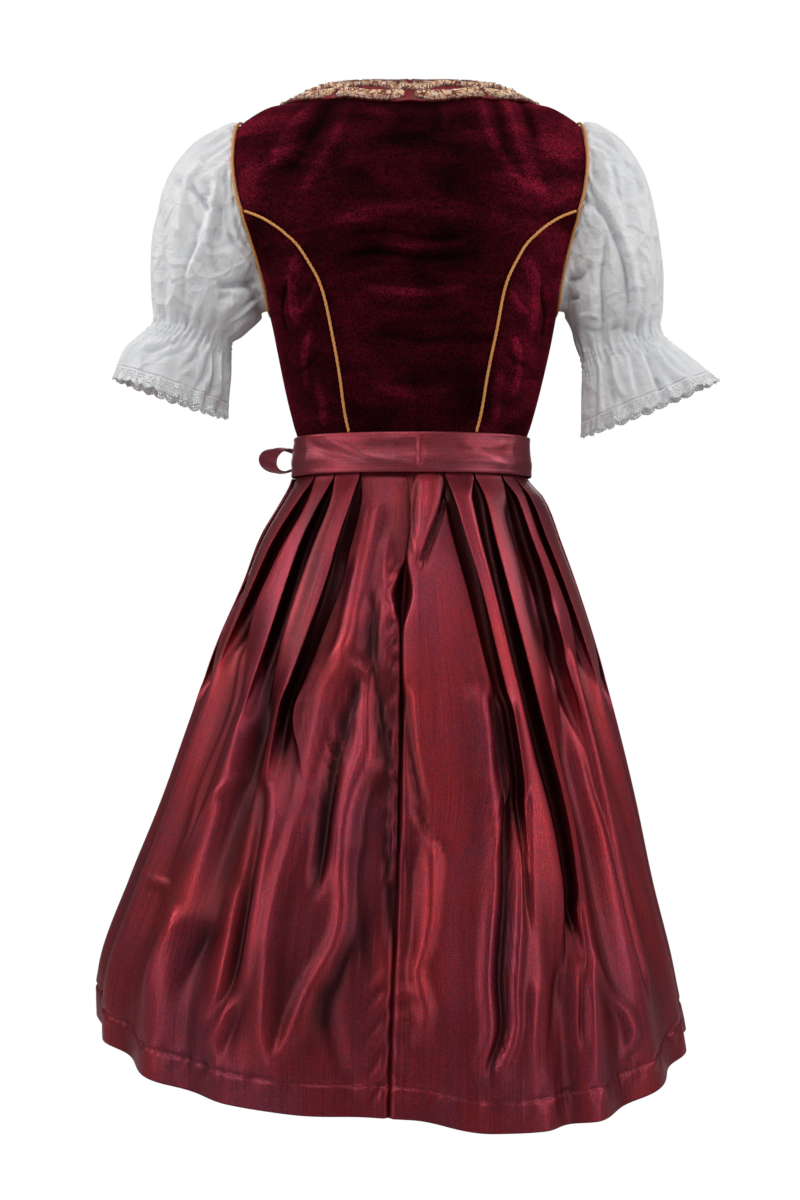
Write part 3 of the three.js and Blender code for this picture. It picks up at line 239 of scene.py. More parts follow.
# ---------- Folds, listed one by one ------
# Each fold of the skirt: its line as (across, height) seen from behind, from the top down, its height in
# millimetres (a trough is negative) and its widths towards the wearer's right and towards the left.
SKIRT_FOLDS = [
    ([(56, -605), (68, -647), (81, -690), (88, -732), (93, -774), (101, -822)], -12, 6, 6),
    ([(69, -562), (80, -584), (93, -637), (106, -700), (118, -764), (134, -817), (145, -870), (149, -923),
      (151, -976), (148, -1013)], 6, 7, 12),
    ([(45, -584), (46, -626), (49, -674), (61, -711), (69, -753), (70, -806), (70, -849), (78, -880),
      (98, -914), (114, -949), (127, -981), (142, -1010)], 8, 12, 8),
    ([(40, -711), (51, -753), (55, -806), (51, -870), (45, -923)], -6, 16, 10),
    ([(40, -520), (41, -562), (38, -605), (33, -647), (28, -679)], -9, 6, 6),
    ([(19, -562), (20, -626), (23, -690), (23, -732), (18, -774), (15, -806)], 4, 5, 8),
    ([(38, -419), (43, -451), (50, -483), (57, -520), (64, -562), (68, -605)], 5, 8, 10),
    ([(26, -456), (28, -499), (25, -531)], 3, 5, 5),
    ([(121, -615), (128, -658), (132, -700), (138, -753), (151, -796), (163, -843), (172, -886),
      (182, -928), (195, -960), (208, -981)], 6, 8, 9),
    ([(151, -711), (155, -753), (163, -806), (174, -854), (183, -896), (193, -933), (206, -960)],
      -10, 7, 8),
    ([(164, -647), (173, -700), (180, -753), (193, -796), (210, -838), (223, -870)], 5, 10, 14),
    ([(177, -573), (189, -626), (202, -663), (215, -695), (227, -727), (238, -764), (252, -796)], 5, 5, 6),
    ([(170, -615), (182, -658), (196, -695), (210, -732)], -5, 5, 5),
    ([(180, -709), (199, -724), (216, -748), (229, -774), (246, -798)], 5, 6, 6),
    ([(284, -798), (270, -817), (254, -838), (243, -853)], 6, 6, 6),
    ([(240, -853), (257, -880), (269, -904), (276, -928)], 6, 9, 8),
    ([(217, -870), (231, -896), (244, -928)], -6, 16, 10),
    ([(217, -615), (233, -668), (252, -716), (270, -764)], 4, 6, 8),
    ([(223, -944), (227, -981), (233, -1005)], 3, 8, 8),
    ([(5, -615), (0, -668), (-8, -711), (-15, -743)], -7, 5, 8),
    ([(-2, -740), (-16, -758), (-32, -780), (-40, -793)], -5, 4, 4),
    ([(-23, -769), (-23, -817), (-21, -859), (-14, -893), (-7, -912), (-12, -933), (-18, -955),
      (-15, -981)], 6, 8, 10),
    ([(0, -796), (2, -859), (5, -923)], -5, 9, 9),
    ([(-72, -615), (-81, -647), (-87, -690), (-92, -732), (-90, -774), (-87, -817), (-82, -870),
      (-80, -923), (-83, -976), (-74, -1010)], 6, 7, 9),
    ([(-88, -626), (-96, -679), (-104, -732), (-103, -796), (-99, -859), (-96, -923), (-99, -970),
      (-87, -1013)], -7, 6, 6),
    ([(-99, -626), (-107, -679), (-114, -743), (-113, -806), (-111, -870), (-108, -933), (-108, -976),
      (-95, -1016)], 7, 6, 6),
    ([(-118, -721), (-119, -785), (-120, -849)], -7, 4, 4),
    ([(-175, -838), (-183, -880), (-183, -933), (-184, -986)], -9, 4, 5),
    ([(-130, -928), (-127, -976), (-127, -1010)], 4, 7, 7),
    ([(-159, -912), (-152, -955), (-148, -1002)], -4, 7, 7),
    ([(-193, -896), (-212, -928), (-231, -957), (-236, -978), (-231, -1002)], 6, 6, 7),
    ([(-164, -573), (-178, -637), (-196, -711), (-212, -764), (-225, -817), (-242, -880), (-254, -928)],
      5, 5, 6),
    ([(-157, -573), (-172, -637), (-189, -711), (-206, -769), (-218, -817), (-235, -880), (-248, -928)],
      -6, 4, 4),
    ([(-183, -615), (-201, -679), (-218, -732), (-235, -796), (-252, -854)], 5, 7, 7),
    ([(-139, -520), (-143, -562), (-147, -610)], -8, 6, 6),
    ([(17, -562), (21, -647), (23, -732), (22, -817), (19, -896)], -7, 4, 9),
    ([(173, -817), (180, -880), (184, -944), (195, -997)], -8, 10, 9),
    ([(93, -928), (89, -976), (76, -1024)], -6, 12, 12),
    ([(61, -790), (64, -859), (78, -928)], -5, 7, 9),
    ([(175, -478), (180, -531), (195, -573)], -6, 6, 6),
    ([(-104, -425), (-117, -478), (-127, -531), (-139, -578)], -6, 8, 7),
    ([(69, -478), (82, -541), (88, -605)], -4, 8, 8),
    ([(-81, -605), (-85, -668), (-74, -721)], 3, 6, 6),
]

rng = np.random.default_rng(SEED)


def chosen(size):
    """A size that is set in the panel, in millimetres."""
    return round(getattr(bpy.context.scene.dirndl_sizes, size) / MM, 4)


# ---------- Curves and tables ----------
def read(table, column, at):
    """Value of a column at places of the table's first column, on a smooth curve through its rows."""
    rows = np.asarray(table, float)
    way = np.sign(rows[-1, 0] - rows[0, 0])
    keys = rows[:, 0] * way
    return smooth_curve(keys, rows[:, column], np.clip(np.asarray(at, float) * way, keys[0], keys[-1]))


def smooth_curve(keys, values, place):
    """Values at places between rising keys, on a smooth curve. A value may be an array itself."""
    wide = (..., *[None] * (values.ndim - 1))
    i = np.clip(np.searchsorted(keys, place, side="right") - 1, 0, len(keys) - 2)
    slopes = np.empty_like(values)
    slopes[0] = (values[1] - values[0]) / (keys[1] - keys[0])
    slopes[-1] = (values[-1] - values[-2]) / (keys[-1] - keys[-2])
    slopes[1:-1] = (values[2:] - values[:-2]) / (keys[2:] - keys[:-2])[wide]
    span = (keys[i + 1] - keys[i])[wide]
    t = (place - keys[i])[wide] / span
    curve = values[i] * (1 + 2 * t) * (1 - t) ** 2 + values[i + 1] * t * t * (3 - 2 * t)
    return curve + span * (slopes[i] * t * (1 - t) ** 2 + slopes[i + 1] * t * t * (t - 1))


def mix(a, b, t):
    return a + (b - a) * t


def smooth(t):
    t = np.clip(t, 0, 1)
    return t * t * (3 - 2 * t)


def bell(x, wide, power=2):
    """1 at x = 0, fading on both sides. With a greater power its top is flatter."""
    return np.exp(-((x / wide) ** power))


def window(at, low, high, soft):
    """1 between low and high, fading to 0 over soft on either side."""
    return smooth((at - low + soft) / soft) * smooth((high + soft - at) / soft)


def unit(v):
    return v / np.maximum(np.linalg.norm(v, axis=-1, keepdims=True), 1e-9)


class Line:
    """A line through points, read by the share of its length."""

    def __init__(self, points):
        self.points = np.asarray(points, float)
        step = np.linalg.norm(np.diff(self.points, axis=0), axis=1)
        keep = np.concatenate([[True], step > 1e-9])
        self.points = self.points[keep]
        step = np.linalg.norm(np.diff(self.points, axis=0), axis=1)
        self.along = np.concatenate([[0], np.cumsum(step)])
        self.length = self.along[-1]

    def at(self, share):
        place = np.clip(np.asarray(share, float), 0, 1) * self.length
        axes = range(self.points.shape[1])
        return np.stack([np.interp(place, self.along, self.points[:, k]) for k in axes], -1)


def spline(points, per_span=24):
    """Points on a smooth curve through the given ones."""
    p = np.asarray(points, float)
    p = np.concatenate([p[:1], p, p[-1:]])
    t = np.linspace(0, 1, per_span, endpoint=False)[:, None]
    found = []
    for a, b, c, d in zip(p[:-3], p[1:-2], p[2:-1], p[3:]):
        start, end = (c - a) / 2, (d - b) / 2
        cubic = (2 * b - 2 * c + start + end) * t**3
        found.append(cubic + (-3 * b + 3 * c - 2 * start - end) * t**2 + start * t + b)
    return np.concatenate([*found, p[-2:-1]])


# ---------- The bodice's surface ----------
def form_point(theta, rise):
    theta, rise = np.broadcast_arrays(np.asarray(theta, float), np.asarray(rise, float))
    half_width = read(FORM, 1, rise)
    depth = np.where(np.cos(theta) > 0, read(FORM, 2, rise), read(FORM, 3, rise))
    x = half_width * np.sin(theta)
    y = depth * np.cos(theta) * (1 + FLATNESS * np.sin(theta) ** 2)
    lift = np.clip(rise / SHOULDER_ARC, 0, 1) * math.pi / 2
    ridge = read(SHOULDER, 1, np.abs(x))
    z = np.where(rise > 0, CHEST_Z + (ridge - CHEST_Z) * np.sin(lift), CHEST_Z + rise)
    return np.stack([x, y * np.cos(lift), z], -1)


def form_normal(theta, rise):
    turn, climb = 0.004, 0.6
    theta, rise = np.broadcast_arrays(np.asarray(theta, float), np.asarray(rise, float))
    high = np.minimum(rise + climb, SHOULDER_ARC - 0.01)
    along = form_point(theta + turn, rise) - form_point(theta - turn, rise)
    up = form_point(theta, high) - form_point(theta, high - 2 * climb)
    return -unit(np.cross(along, up))


def skin(theta, rise, off):
    off = np.asarray(off, float)
    return form_point(theta, rise) + form_normal(theta, rise) * off[..., None]


def chart(x, z, front=False):
    x, z = np.asarray(x, float), np.asarray(z, float)
    ridge = read(SHOULDER, 1, x)
    share = np.clip((z - CHEST_Z) / (ridge - CHEST_Z), 0, 1)
    rise = np.where(z <= CHEST_Z, z - CHEST_Z, SHOULDER_ARC * np.arcsin(share) / (math.pi / 2))
    turn = np.arcsin(np.clip(x / read(FORM, 1, rise), 0, 1))
    return np.stack([CHART * (math.pi - turn if front else turn), rise], -1)


def chart_points(table, front=False):
    rows = np.asarray(table, float)
    return chart(rows[:, 0], rows[:, 1], front)


def chart_line(table, front=False):
    return Line(spline(chart_points(table, front)))


def chain(*lines):
    return Line(np.concatenate([line.points if isinstance(line, Line) else line for line in lines]))


def on_chart(points, off):
    return skin(points[..., 0] / CHART, points[..., 1], off)


WAIST_RISE = WAIST_Z - CHEST_Z
princess = chart_line(PRINCESS_SEAM)
armhole_back = chart_line(ARMHOLE_BACK)
armhole_side = chart_line(ARMHOLE_SIDE)
armhole_front = chart_line(ARMHOLE_FRONT, True)
neck_back = chart_line(NECK_BACK)
neck_front = chart_line(NECK_FRONT, True)
underarm = armhole_side.points[-1]


# ---------- Meshes ----------
def lean(points):
    moved = np.array(points, float)
    moved[..., 0] += read(LEAN, 1, moved[..., 2])
    return moved


# The wearer's two sides, and the sign of x on each.
SIDES = (("left", 1.0), ("right", -1.0))


def mirror(points):
    return points * np.array([-1.0, 1.0, 1.0])


def grid_normal(grid, ring):
    """Unit normals of a grid of points. A ring closes on itself along its columns."""
    if ring:
        along = np.roll(grid, -1, axis=1) - np.roll(grid, 1, axis=1)
    else:
        along = np.gradient(grid, axis=1)
    up = np.gradient(grid, axis=0)
    return unit(np.cross(along, up))


def thickened(grid, thickness, ring=False):
    """A second grid, thickness away on the side that the normals leave."""
    return grid - grid_normal(grid, ring) * thickness


def mesh_object(name, vertices, faces, uvs, flat_from, materials, picks=None):
    """A mesh object in metres. uvs holds a pair for each corner, faces from flat_from on shade flat."""
    mesh = bpy.data.meshes.new(name)
    vertices = lean(vertices) * MM
    faces = np.asarray(faces, np.int32)
    p = vertices[faces]
    volume = np.einsum("ij,ij->i", p[:, 0], np.cross(p[:, 1], p[:, 2])).sum()
    if faces.shape[1] == 4:
        volume += np.einsum("ij,ij->i", p[:, 0], np.cross(p[:, 2], p[:, 3])).sum()
    if volume < 0:
        faces = faces[:, ::-1]
        uvs = uvs[:, ::-1]
    mesh.vertices.add(len(vertices))
    mesh.vertices.foreach_set("co", vertices.astype(np.float32).ravel())
    mesh.loops.add(faces.size)
    mesh.loops.foreach_set("vertex_index", faces.ravel())
    mesh.polygons.add(len(faces))
    starts = np.arange(0, faces.size, faces.shape[1], dtype=np.int32)
    mesh.polygons.foreach_set("loop_start", starts)
    mesh.update(calc_edges=True)
    shade = np.ones(len(faces), bool)
    shade[flat_from:] = False
    mesh.polygons.foreach_set("use_smooth", shade)
    layer = mesh.uv_layers.new(name="cloth")
    layer.data.foreach_set("uv", uvs.reshape(-1, 2).astype(np.float32).ravel())
    for material in materials:
        mesh.materials.append(material)
    if picks is not None:
        mesh.polygons.foreach_set("material_index", np.asarray(picks, np.int32))
    mesh.validate()
    piece = bpy.data.objects.new(name, mesh)
    bpy.context.scene.collection.objects.link(piece)
    return piece


def grid_uv(grid, ring):
    """Lengths along the cloth in metres: across at the middle row, down at the middle column."""
    rows, columns = grid.shape[:2]
    middle = grid[rows // 2]
    if ring:
        middle = np.concatenate([middle, middle[:1]])
    u = np.concatenate([[0], np.cumsum(np.linalg.norm(np.diff(middle, axis=0), axis=1))])
    down = grid[:, columns // 2]
    v = np.concatenate([[0], np.cumsum(np.linalg.norm(np.diff(down, axis=0), axis=1))])
    return u * MM, v * MM


def shell(name, outer, inner, materials, ring=False, face_pick=None, hollow=None):
    """A closed thin wall between two matching grids. hollow: how deep each point lies in a fold, for painted
    shade.
    """
    rows, columns = outer.shape[:2]
    across = columns if ring else columns - 1
    back = rows * columns
    u, v = grid_uv(outer, ring)
    pick = np.zeros((rows - 1, across), int) if face_pick is None else face_pick
    r, c = (k.ravel() for k in np.meshgrid(np.arange(rows - 1), np.arange(across), indexing="ij"))

    def spot(row, column):
        """Numbers of points of the outside, and their places on the flat cloth."""
        flat = np.stack(np.broadcast_arrays(u[column], v[row]), -1)
        return row * columns + column % columns, flat

    corners = spot(r, c), spot(r, c + 1), spot(r + 1, c + 1), spot(r + 1, c)
    outside, flat = (np.stack(found, 1) for found in zip(*corners))
    faces, uvs, picks = [outside, outside[:, ::-1] + back], [flat, flat[:, ::-1]], [pick[r, c]] * 2

    def add_rim(start, end, way, picked):
        """The strip between outside and inside along an edge. way is -1 where it is turned over."""
        (a, a_flat), (b, b_flat) = start, end
        faces.append(np.stack([a, b, b + back, a + back], -1)[:, ::way])
        uvs.append(np.stack([a_flat, b_flat, b_flat, a_flat], 1)[:, ::way])
        picks.append(picked)

    c, r = np.arange(across), np.arange(rows - 1)
    for row, way in ((0, 1), (rows - 1, -1)):
        add_rim(spot(row, c + 1), spot(row, c), way, pick[min(row, rows - 2), c])
    for column, way in () if ring else ((0, 1), (columns - 1, -1)):
        add_rim(spot(r, column), spot(r + 1, column), way, pick[r, min(column, columns - 2)])
    vertices = np.concatenate([outer.reshape(-1, 3), inner.reshape(-1, 3)])
    faces, uvs = np.concatenate(faces), np.concatenate(uvs)
    picks = None if face_pick is None else np.concatenate(picks)
    piece = mesh_object(name, vertices, faces, uvs, 2 * len(outside), materials, picks)
    depth = np.zeros((rows, columns)) if hollow is None else hollow
    values = np.concatenate([depth.ravel(), depth.ravel()]).astype(np.float32)
    piece.data.attributes.new("hollow", "FLOAT", "POINT").data.foreach_set("value", values)
    return piece


def cloth_size(grid, ring=False):
    """Width, length and area of a grid of cloth in metres, measured along it."""
    closed = np.concatenate([grid, grid[:, :1]], 1) if ring else grid
    across = np.linalg.norm(np.diff(closed, axis=1), axis=2).sum(1)
    down = np.linalg.norm(np.diff(closed, axis=0), axis=2).sum(0)
    a = closed[1:, 1:] - closed[:-1, :-1]
    b = closed[1:, :-1] - closed[:-1, 1:]
    area = np.linalg.norm(np.cross(a, b), axis=2).sum() / 2
    width, length = across.max() * MM, down.max() * MM
    return width, length, min(area * MM * MM, width * length)


def dress(piece, node):
    """piece stands for a node, whose solid it hides, and rides on the garment."""
    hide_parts(node)
    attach(piece, "root")
    return piece


def declare_cloth(grid, ring=False):
    width, length, area = cloth_size(grid, ring)


def scattered(name, centres, axes, shape_points, shape_faces, material):
    """One mesh of many copies of a small shape. axes holds a 3 by 3 for each copy, scale included."""
    count = len(centres)
    points = np.asarray(shape_points, float)
    faces = np.asarray(shape_faces, int)
    vertices = np.einsum("kj,njc->nkc", points, np.asarray(axes, float)) + np.asarray(centres)[:, None]
    all_faces = (faces[None] + len(points) * np.arange(count)[:, None, None]).reshape(-1, faces.shape[1])
    uvs = np.zeros((len(all_faces), faces.shape[1], 2))
    return mesh_object(name, vertices.reshape(-1, 3), all_faces, uvs, len(all_faces), [material])


def ball_shape(rings=5, sides=8):
    """Points and triangles of a small round bead of radius 1."""
    points = [(0, 0, 1)]
    for i in range(1, rings):
        tilt = math.pi * i / rings
        for j in range(sides):
            turn = math.tau * j / sides
            points.append((math.sin(tilt) * math.cos(turn), math.sin(tilt) * math.sin(turn), math.cos(tilt)))
    points.append((0, 0, -1))
    faces = [(0, 1 + j, 1 + (j + 1) % sides) for j in range(sides)]
    for i in range(rings - 2):
        for j in range(sides):
            a, b = 1 + i * sides + j, 1 + i * sides + (j + 1) % sides
            faces += [(a, a + sides, b), (b, a + sides, b + sides)]
    last = len(points) - 1
    base = 1 + (rings - 2) * sides
    faces += [(base + j, last, base + (j + 1) % sides) for j in range(sides)]
    return points, faces


def stitch_shape():
    """A stitch: a slim thread that dips into the cloth at both ends, long along its first axis."""
    ends = [(-1, 0, -0.6), (1, 0, -0.6)]
    around = [(0.55, 0.5), (0.55, -0.5), (-0.45, -0.5), (-0.45, 0.5)]
    points = [ends[0]]
    for x in (-0.6, 0.6):
        points += [(x, side, up) for up, side in around]
    points.append(ends[1])
    faces = []
    for k in range(4):
        n = (k + 1) % 4
        faces += [(0, 1 + k, 1 + n), (1 + k, 5 + k, 5 + n), (1 + k, 5 + n, 1 + n), (5 + k, 9, 5 + n)]
    return points, faces


def stitches(name, points, up, stitch, material):
    """A row of stitches along a line of points on the cloth, whose outward directions are up."""
    pitch, long, wide = stitch
    line = Line(points)
    count = max(int(line.length / pitch), 2)
    share = (np.arange(count) + 0.5) / count
    centre = line.at(share)
    outward = unit(values_along(line, up, share))
    before, after = line.at(share - 0.5 / count), line.at(share + 0.5 / count)
    ahead = unit(after - before)
    side = unit(np.cross(outward, ahead))
    axes = np.stack([ahead * long / 2, side * wide, outward * wide], 1)
    shape_points, shape_faces = stitch_shape()
    return scattered(name, centre + outward * wide * 0.25, axes, shape_points, shape_faces, material)


def values_along(line, values, share):
    """Vectors at shares of a line's length, from those given at its points."""
    place = np.clip(share, 0, 1) * line.length
    values = values[: len(line.points)]
    return np.stack([np.interp(place, line.along, values[:, k]) for k in range(3)], -1)


# A cord: its strands, the length that each takes for a turn's share, the sides of its section, the step
# between its rings and the width of its flat cloth in metres.
CORD_STRANDS, CORD_TWIST, CORD_SIDES, CORD_STEP, CORD_FLAT = 3, 5.2, 14, 0.85, 0.01


def rope(name, points, up, radius, material, closed):
    """A twisted cord along points. up gives a direction off the cloth at each point."""
    line = Line(np.concatenate([points, points[:1]]) if closed else points)
    count = int(line.length / CORD_STEP)
    if closed:
        turns = round(line.length / (CORD_TWIST * CORD_STRANDS)) * CORD_STRANDS
    else:
        turns = line.length / CORD_TWIST
    share = np.arange(count) / count if closed else np.linspace(0, 1, count)
    centre = line.at(share)
    raised = np.concatenate([up, up[:1]]) if closed else up
    outward = unit(values_along(line, raised, share))
    if closed:
        ahead = unit(np.roll(centre, -1, 0) - np.roll(centre, 1, 0))
    else:
        ahead = unit(np.gradient(centre, axis=0))
    side = unit(np.cross(outward, ahead))
    outward = unit(np.cross(ahead, side))
    phi = math.tau * np.arange(CORD_SIDES) / CORD_SIDES
    spin = math.tau * turns / CORD_STRANDS * share
    lobe = np.abs(np.cos((CORD_STRANDS * (phi[None] - spin[:, None])) / 2))
    thick = radius * (0.78 + 0.26 * lobe)
    if not closed:
        taper = np.sqrt(np.clip(np.minimum(share, 1 - share) * line.length / 1.2, 0.02, 1))
        thick = thick * taper[:, None]
    grid = (
        centre[:, None]
        + side[:, None] * (thick * np.cos(phi))[..., None]
        + outward[:, None] * (thick * np.sin(phi))[..., None]
    )
    return tube_object(name, grid, closed, material)


def tube_object(name, grid, closed, material):
    rows, sides = grid.shape[:2]
    spans = rows if closed else rows - 1
    r, c = np.meshgrid(np.arange(spans), np.arange(sides), indexing="ij")
    r, c = r.ravel(), c.ravel()
    nr, nc = (r + 1) % rows, (c + 1) % sides
    faces = np.stack([r * sides + c, r * sides + nc, nr * sides + nc, nr * sides + c], -1)
    u, v = c / sides * CORD_FLAT, r * CORD_STEP * MM
    wide, long = CORD_FLAT / sides, CORD_STEP * MM
    corners = [(u, v), (u + wide, v), (u + wide, v + long), (u, v + long)]
    uvs = np.stack([np.stack(corner, -1) for corner in corners], 1)
    vertices = grid.reshape(-1, 3)
    if not closed:
        ends = np.stack([grid[0].mean(0), grid[-1].mean(0)])
        first, last = len(vertices), len(vertices) + 1
        vertices = np.concatenate([vertices, ends])
        k = np.arange(0, sides, 2)
        base = (rows - 1) * sides
        cap = np.stack([np.full(len(k), first), (k + 2) % sides, (k + 1) % sides, k], -1)
        end = np.stack([np.full(len(k), last), base + k, base + (k + 1) % sides, base + (k + 2) % sides], -1)
        faces = np.concatenate([faces, cap, end])
        uvs = np.concatenate([uvs, np.zeros((2 * len(k), 4, 2))])
    return mesh_object(name, vertices, faces, uvs, len(faces), [material])


# ---------- Bodice ----------
# Soft folds of the velvet behind: line as (x, z), height, width.
VELVET_FOLDS = [
    ([(-96, 10), (-108, -25), (-116, -60), (-127, -95), (-142, -120)], 2.6, 4),
    ([(-112, 8), (-124, -30), (-132, -66)], -2.6, 4),
    ([(-84, 4), (-92, -30), (-97, -70)], -1.8, 3),
    ([(-100, 6), (-112, -40), (-124, -92)], -2.2, 3),
    ([(-70, 2), (-80, -44), (-104, -88), (-132, -112)], 1.3, 3),
    ([(-78, -132), (-20, -126), (30, -130), (88, -143)], 1.6, 4),
    ([(-75, -150), (-25, -158), (30, -150), (78, -158)], -1.6, 3.5),
    ([(-60, -160), (-10, -167), (40, -160)], 1.1, 3),
    ([(-78, -170), (-20, -178), (40, -171), (88, -180)], -2.0, 4),
    ([(-62, -205), (0, -212), (60, -204)], 1.4, 4),
    ([(-40, -222), (10, -228), (50, -221)], -1.2, 4),
    ([(-60, -250), (-10, -259), (50, -247)], -1.5, 5),
    ([(-50, -305), (0, -312), (48, -300)], 1.2, 6),
    ([(110, -166), (124, -200), (120, -244)], 2.6, 5),
    ([(126, -190), (136, -222), (128, -250)], -2.2, 4),
    ([(104, -240), (112, -275), (106, -310)], 1.8, 4),
    ([(92, -190), (104, -214), (122, -230)], 1.3, 3),
    ([(96, -268), (112, -284), (124, -286)], -1.5, 3),
    ([(-112, -168), (-126, -205), (-120, -252)], 2.6, 5),
    ([(-128, -196), (-136, -226), (-130, -256)], -2.2, 4),
    ([(-100, -246), (-108, -280), (-102, -316)], 1.8, 4),
    ([(-94, -200), (-108, -222), (-126, -236)], 1.3, 3),
    ([(-90, -262), (-104, -276), (-120, -280)], -1.5, 3),
    ([(100, -290), (92, -320), (92, -344)], 1.6, 5),
    ([(-92, -282), (-84, -310), (-86, -342)], 1.6, 5),
    ([(96, -2), (118, -36), (140, -84)], 1.9, 5),
    ([(78, 2), (98, -44), (128, -100)], -1.6, 4),
    ([(60, -4), (82, -60), (112, -118)], 1.1, 4),
    ([(-52, -20), (0, -26), (52, -18)], 0.9, 5),
]


def line_height(points, tracks):
    """Height of folds over flat points. Each track is a line, a height and a width, or two: to the left
    and to the right of the way that the line runs."""
    flat = points.reshape(-1, 2)
    total = np.zeros(len(flat))
    for track, height, *widths in tracks:
        line = Line(spline(track, per_span=6))
        nearest = np.full(len(flat), 1e9)
        place = np.zeros(len(flat))
        side = np.zeros(len(flat))
        for i in range(len(line.points) - 1):
            a, b = line.points[i], line.points[i + 1]
            span = b - a
            t = np.clip(((flat - a) @ span) / (span @ span), 0, 1)
            gap = np.hypot(*(flat - a - t[:, None] * span).T)
            closer = gap < nearest
            nearest = np.where(closer, gap, nearest)
            place = np.where(closer, line.along[i] + t * (line.along[i + 1] - line.along[i]), place)
            side = np.where(closer, span[0] * (flat[:, 1] - a[1]) - span[1] * (flat[:, 0] - a[0]), side)
        share = place / line.length
        fade = smooth(share / 0.25) * smooth((1 - share) / 0.25)
        width = np.where(side > 0, widths[0], widths[-1])
        total += height * bell(nearest, width) * fade
    return total.reshape(points.shape[:-1])


def signed_chart(x, z):
    """Chart point of a place behind, on either side of the middle."""
    p = chart(np.abs(x), z)
    p[..., 0] *= np.sign(x)
    return p


VELVET_TRACKS = [
    (signed_chart(*np.asarray(points, float).T), height, width) for points, height, width in VELVET_FOLDS
]


def seam_round(share, deep, wide):
    """How far cloth dips towards a seam: share runs 0 to 1 across it, wide is the share that dips."""
    edge = np.minimum(share, 1 - share)
    return -deep * (1 - smooth(edge / wide)) ** 2


def half_patch(foot, top, side, u, v):
    crown, corner = top.at(0.0), side(np.array(0.0))
    u, v = u[None, :, None], v[:, None, None]
    over, beside = top.at(u[0, :, 0])[None], side(v[:, 0, 0])[:, None]
    p = (1 - u) * mix(foot, crown, v) + u * beside + (1 - v) * mix(foot, corner, u) + v * over
    p = p - (1 - u) * (1 - v) * foot - u * (1 - v) * corner
    return p - (1 - u) * v * crown - u * v * side(np.array(1.0))


def crossing_chart(foot, top, side, u, v, sideways):
    """Chart points of one half of a panel that crosses the figure's middle; the callers mirror it for the
    other half.
    """
    half = half_patch(foot, top, side, u, v)
    half[..., 0] += sideways * u[None] * SEAM_GAP / 2
    half[..., 1] = np.minimum(half[..., 1], SHOULDER_ARC - SEAM_GAP)
    return half


def velvet_shade(off):
    """Painted highlight on the tops of the velvet's folds and painted shade between them."""
    return np.clip(-off / 2.6, -0.5, 1)


# Columns across and rows up a panel; the back's middle has rows below its seam's end and above it.
PANEL_COLUMNS, PANEL_ROWS = 46, 96
MIDDLE_COLUMNS, MIDDLE_ROWS_BELOW, MIDDLE_ROWS_ABOVE = 56, 96, 50


def make_back_centre(velvet):
    top = chain(neck_back, np.stack([neck_back.points[-1], armhole_back.points[-1]]))
    seam_share = princess.length / (princess.length + armhole_back.length)

    def side(v):
        low = princess.at(v / seam_share)
        high = armhole_back.at((v - seam_share) / (1 - seam_share))
        return np.where((v <= seam_share)[..., None], low, high)

    u = np.linspace(0, 1, MIDDLE_COLUMNS)
    low, high = np.linspace(0, seam_share, MIDDLE_ROWS_BELOW), np.linspace(seam_share, 1, MIDDLE_ROWS_ABOVE)
    v = np.concatenate([low, high[1:]])
    half = crossing_chart(np.array([0.0, WAIST_RISE]), top, side, u, v, -1)
    other = half[:, :0:-1] * np.array([-1.0, 1.0])
    both = np.concatenate([other, half], 1)
    off = line_height(both, VELVET_TRACKS)
    edge = np.concatenate([u[:0:-1], u])[None]
    off = off - 0.9 * smooth((edge - 0.965) / 0.035) ** 2
    points = skin_signed(both, off)
    inner = skin_signed(both, off - VELVET)
    piece = shell("velvet_back_centre", points, inner, [velvet], hollow=velvet_shade(off))
    dress(piece, "bodice_back_centre")
    declare_cloth(points)


def skin_signed(points, off):
    """On the bodice at chart points on either side: the left side's surface, mirrored for the right."""
    sign = np.where(points[..., 0] < 0, -1.0, 1.0)
    p = skin(np.abs(points[..., 0]) / CHART, points[..., 1], off)
    p[..., 0] *= sign
    return p


def velvet_panel(velvet, side, flip, name, p, off):
    """A panel of one side of the bodice, from its chart points and their height off the form."""
    turned = np.array([flip, 1.0, 1.0])
    points, back = (on_chart(p, at) * turned for at in (off, off - VELVET))
    piece = shell(f"velvet_{name}_{side}", points, back, [velvet], hollow=velvet_shade(off))
    dress(piece, f"bodice_{name}_{side}")
    declare_cloth(points)


def make_side_back(velvet, side, flip):
    side_seam = Line([(CHART * math.pi / 2, WAIST_RISE), underarm])
    u, v = np.linspace(0, 1, PANEL_COLUMNS), np.linspace(0, 1, PANEL_ROWS)
    inner = princess.at(v)[:, None]
    outer = side_seam.at(v)[:, None]
    straight_top = mix(princess.at(1.0), underarm, u[:, None])
    rise = (armhole_side.at(u) - straight_top)[None] * v[:, None, None]
    p = mix(inner, outer, u[None, :, None]) + rise
    p[..., 0] += mix(SEAM_GAP / 2, -SEAM_GAP / 2, u)[None]
    signed = p * np.array([flip, 1.0])
    off = line_height(signed, VELVET_TRACKS) + seam_round(u, 0.9, 0.06)[None]
    velvet_panel(velvet, side, flip, "back_side", p, off)


# Soft folds over the bust: line as chart points, height, width.
BUST_FOLDS = [
    ([(CHART * 2.05, -20), (CHART * 2.3, -60), (CHART * 2.5, -120)], 1.2, 11),
    ([(CHART * 1.8, -10), (CHART * 1.95, -60), (CHART * 2.1, -110)], -1.0, 9),
    ([(CHART * 2.6, -150), (CHART * 2.75, -180), (CHART * 2.95, -205)], 0.9, 9),
]


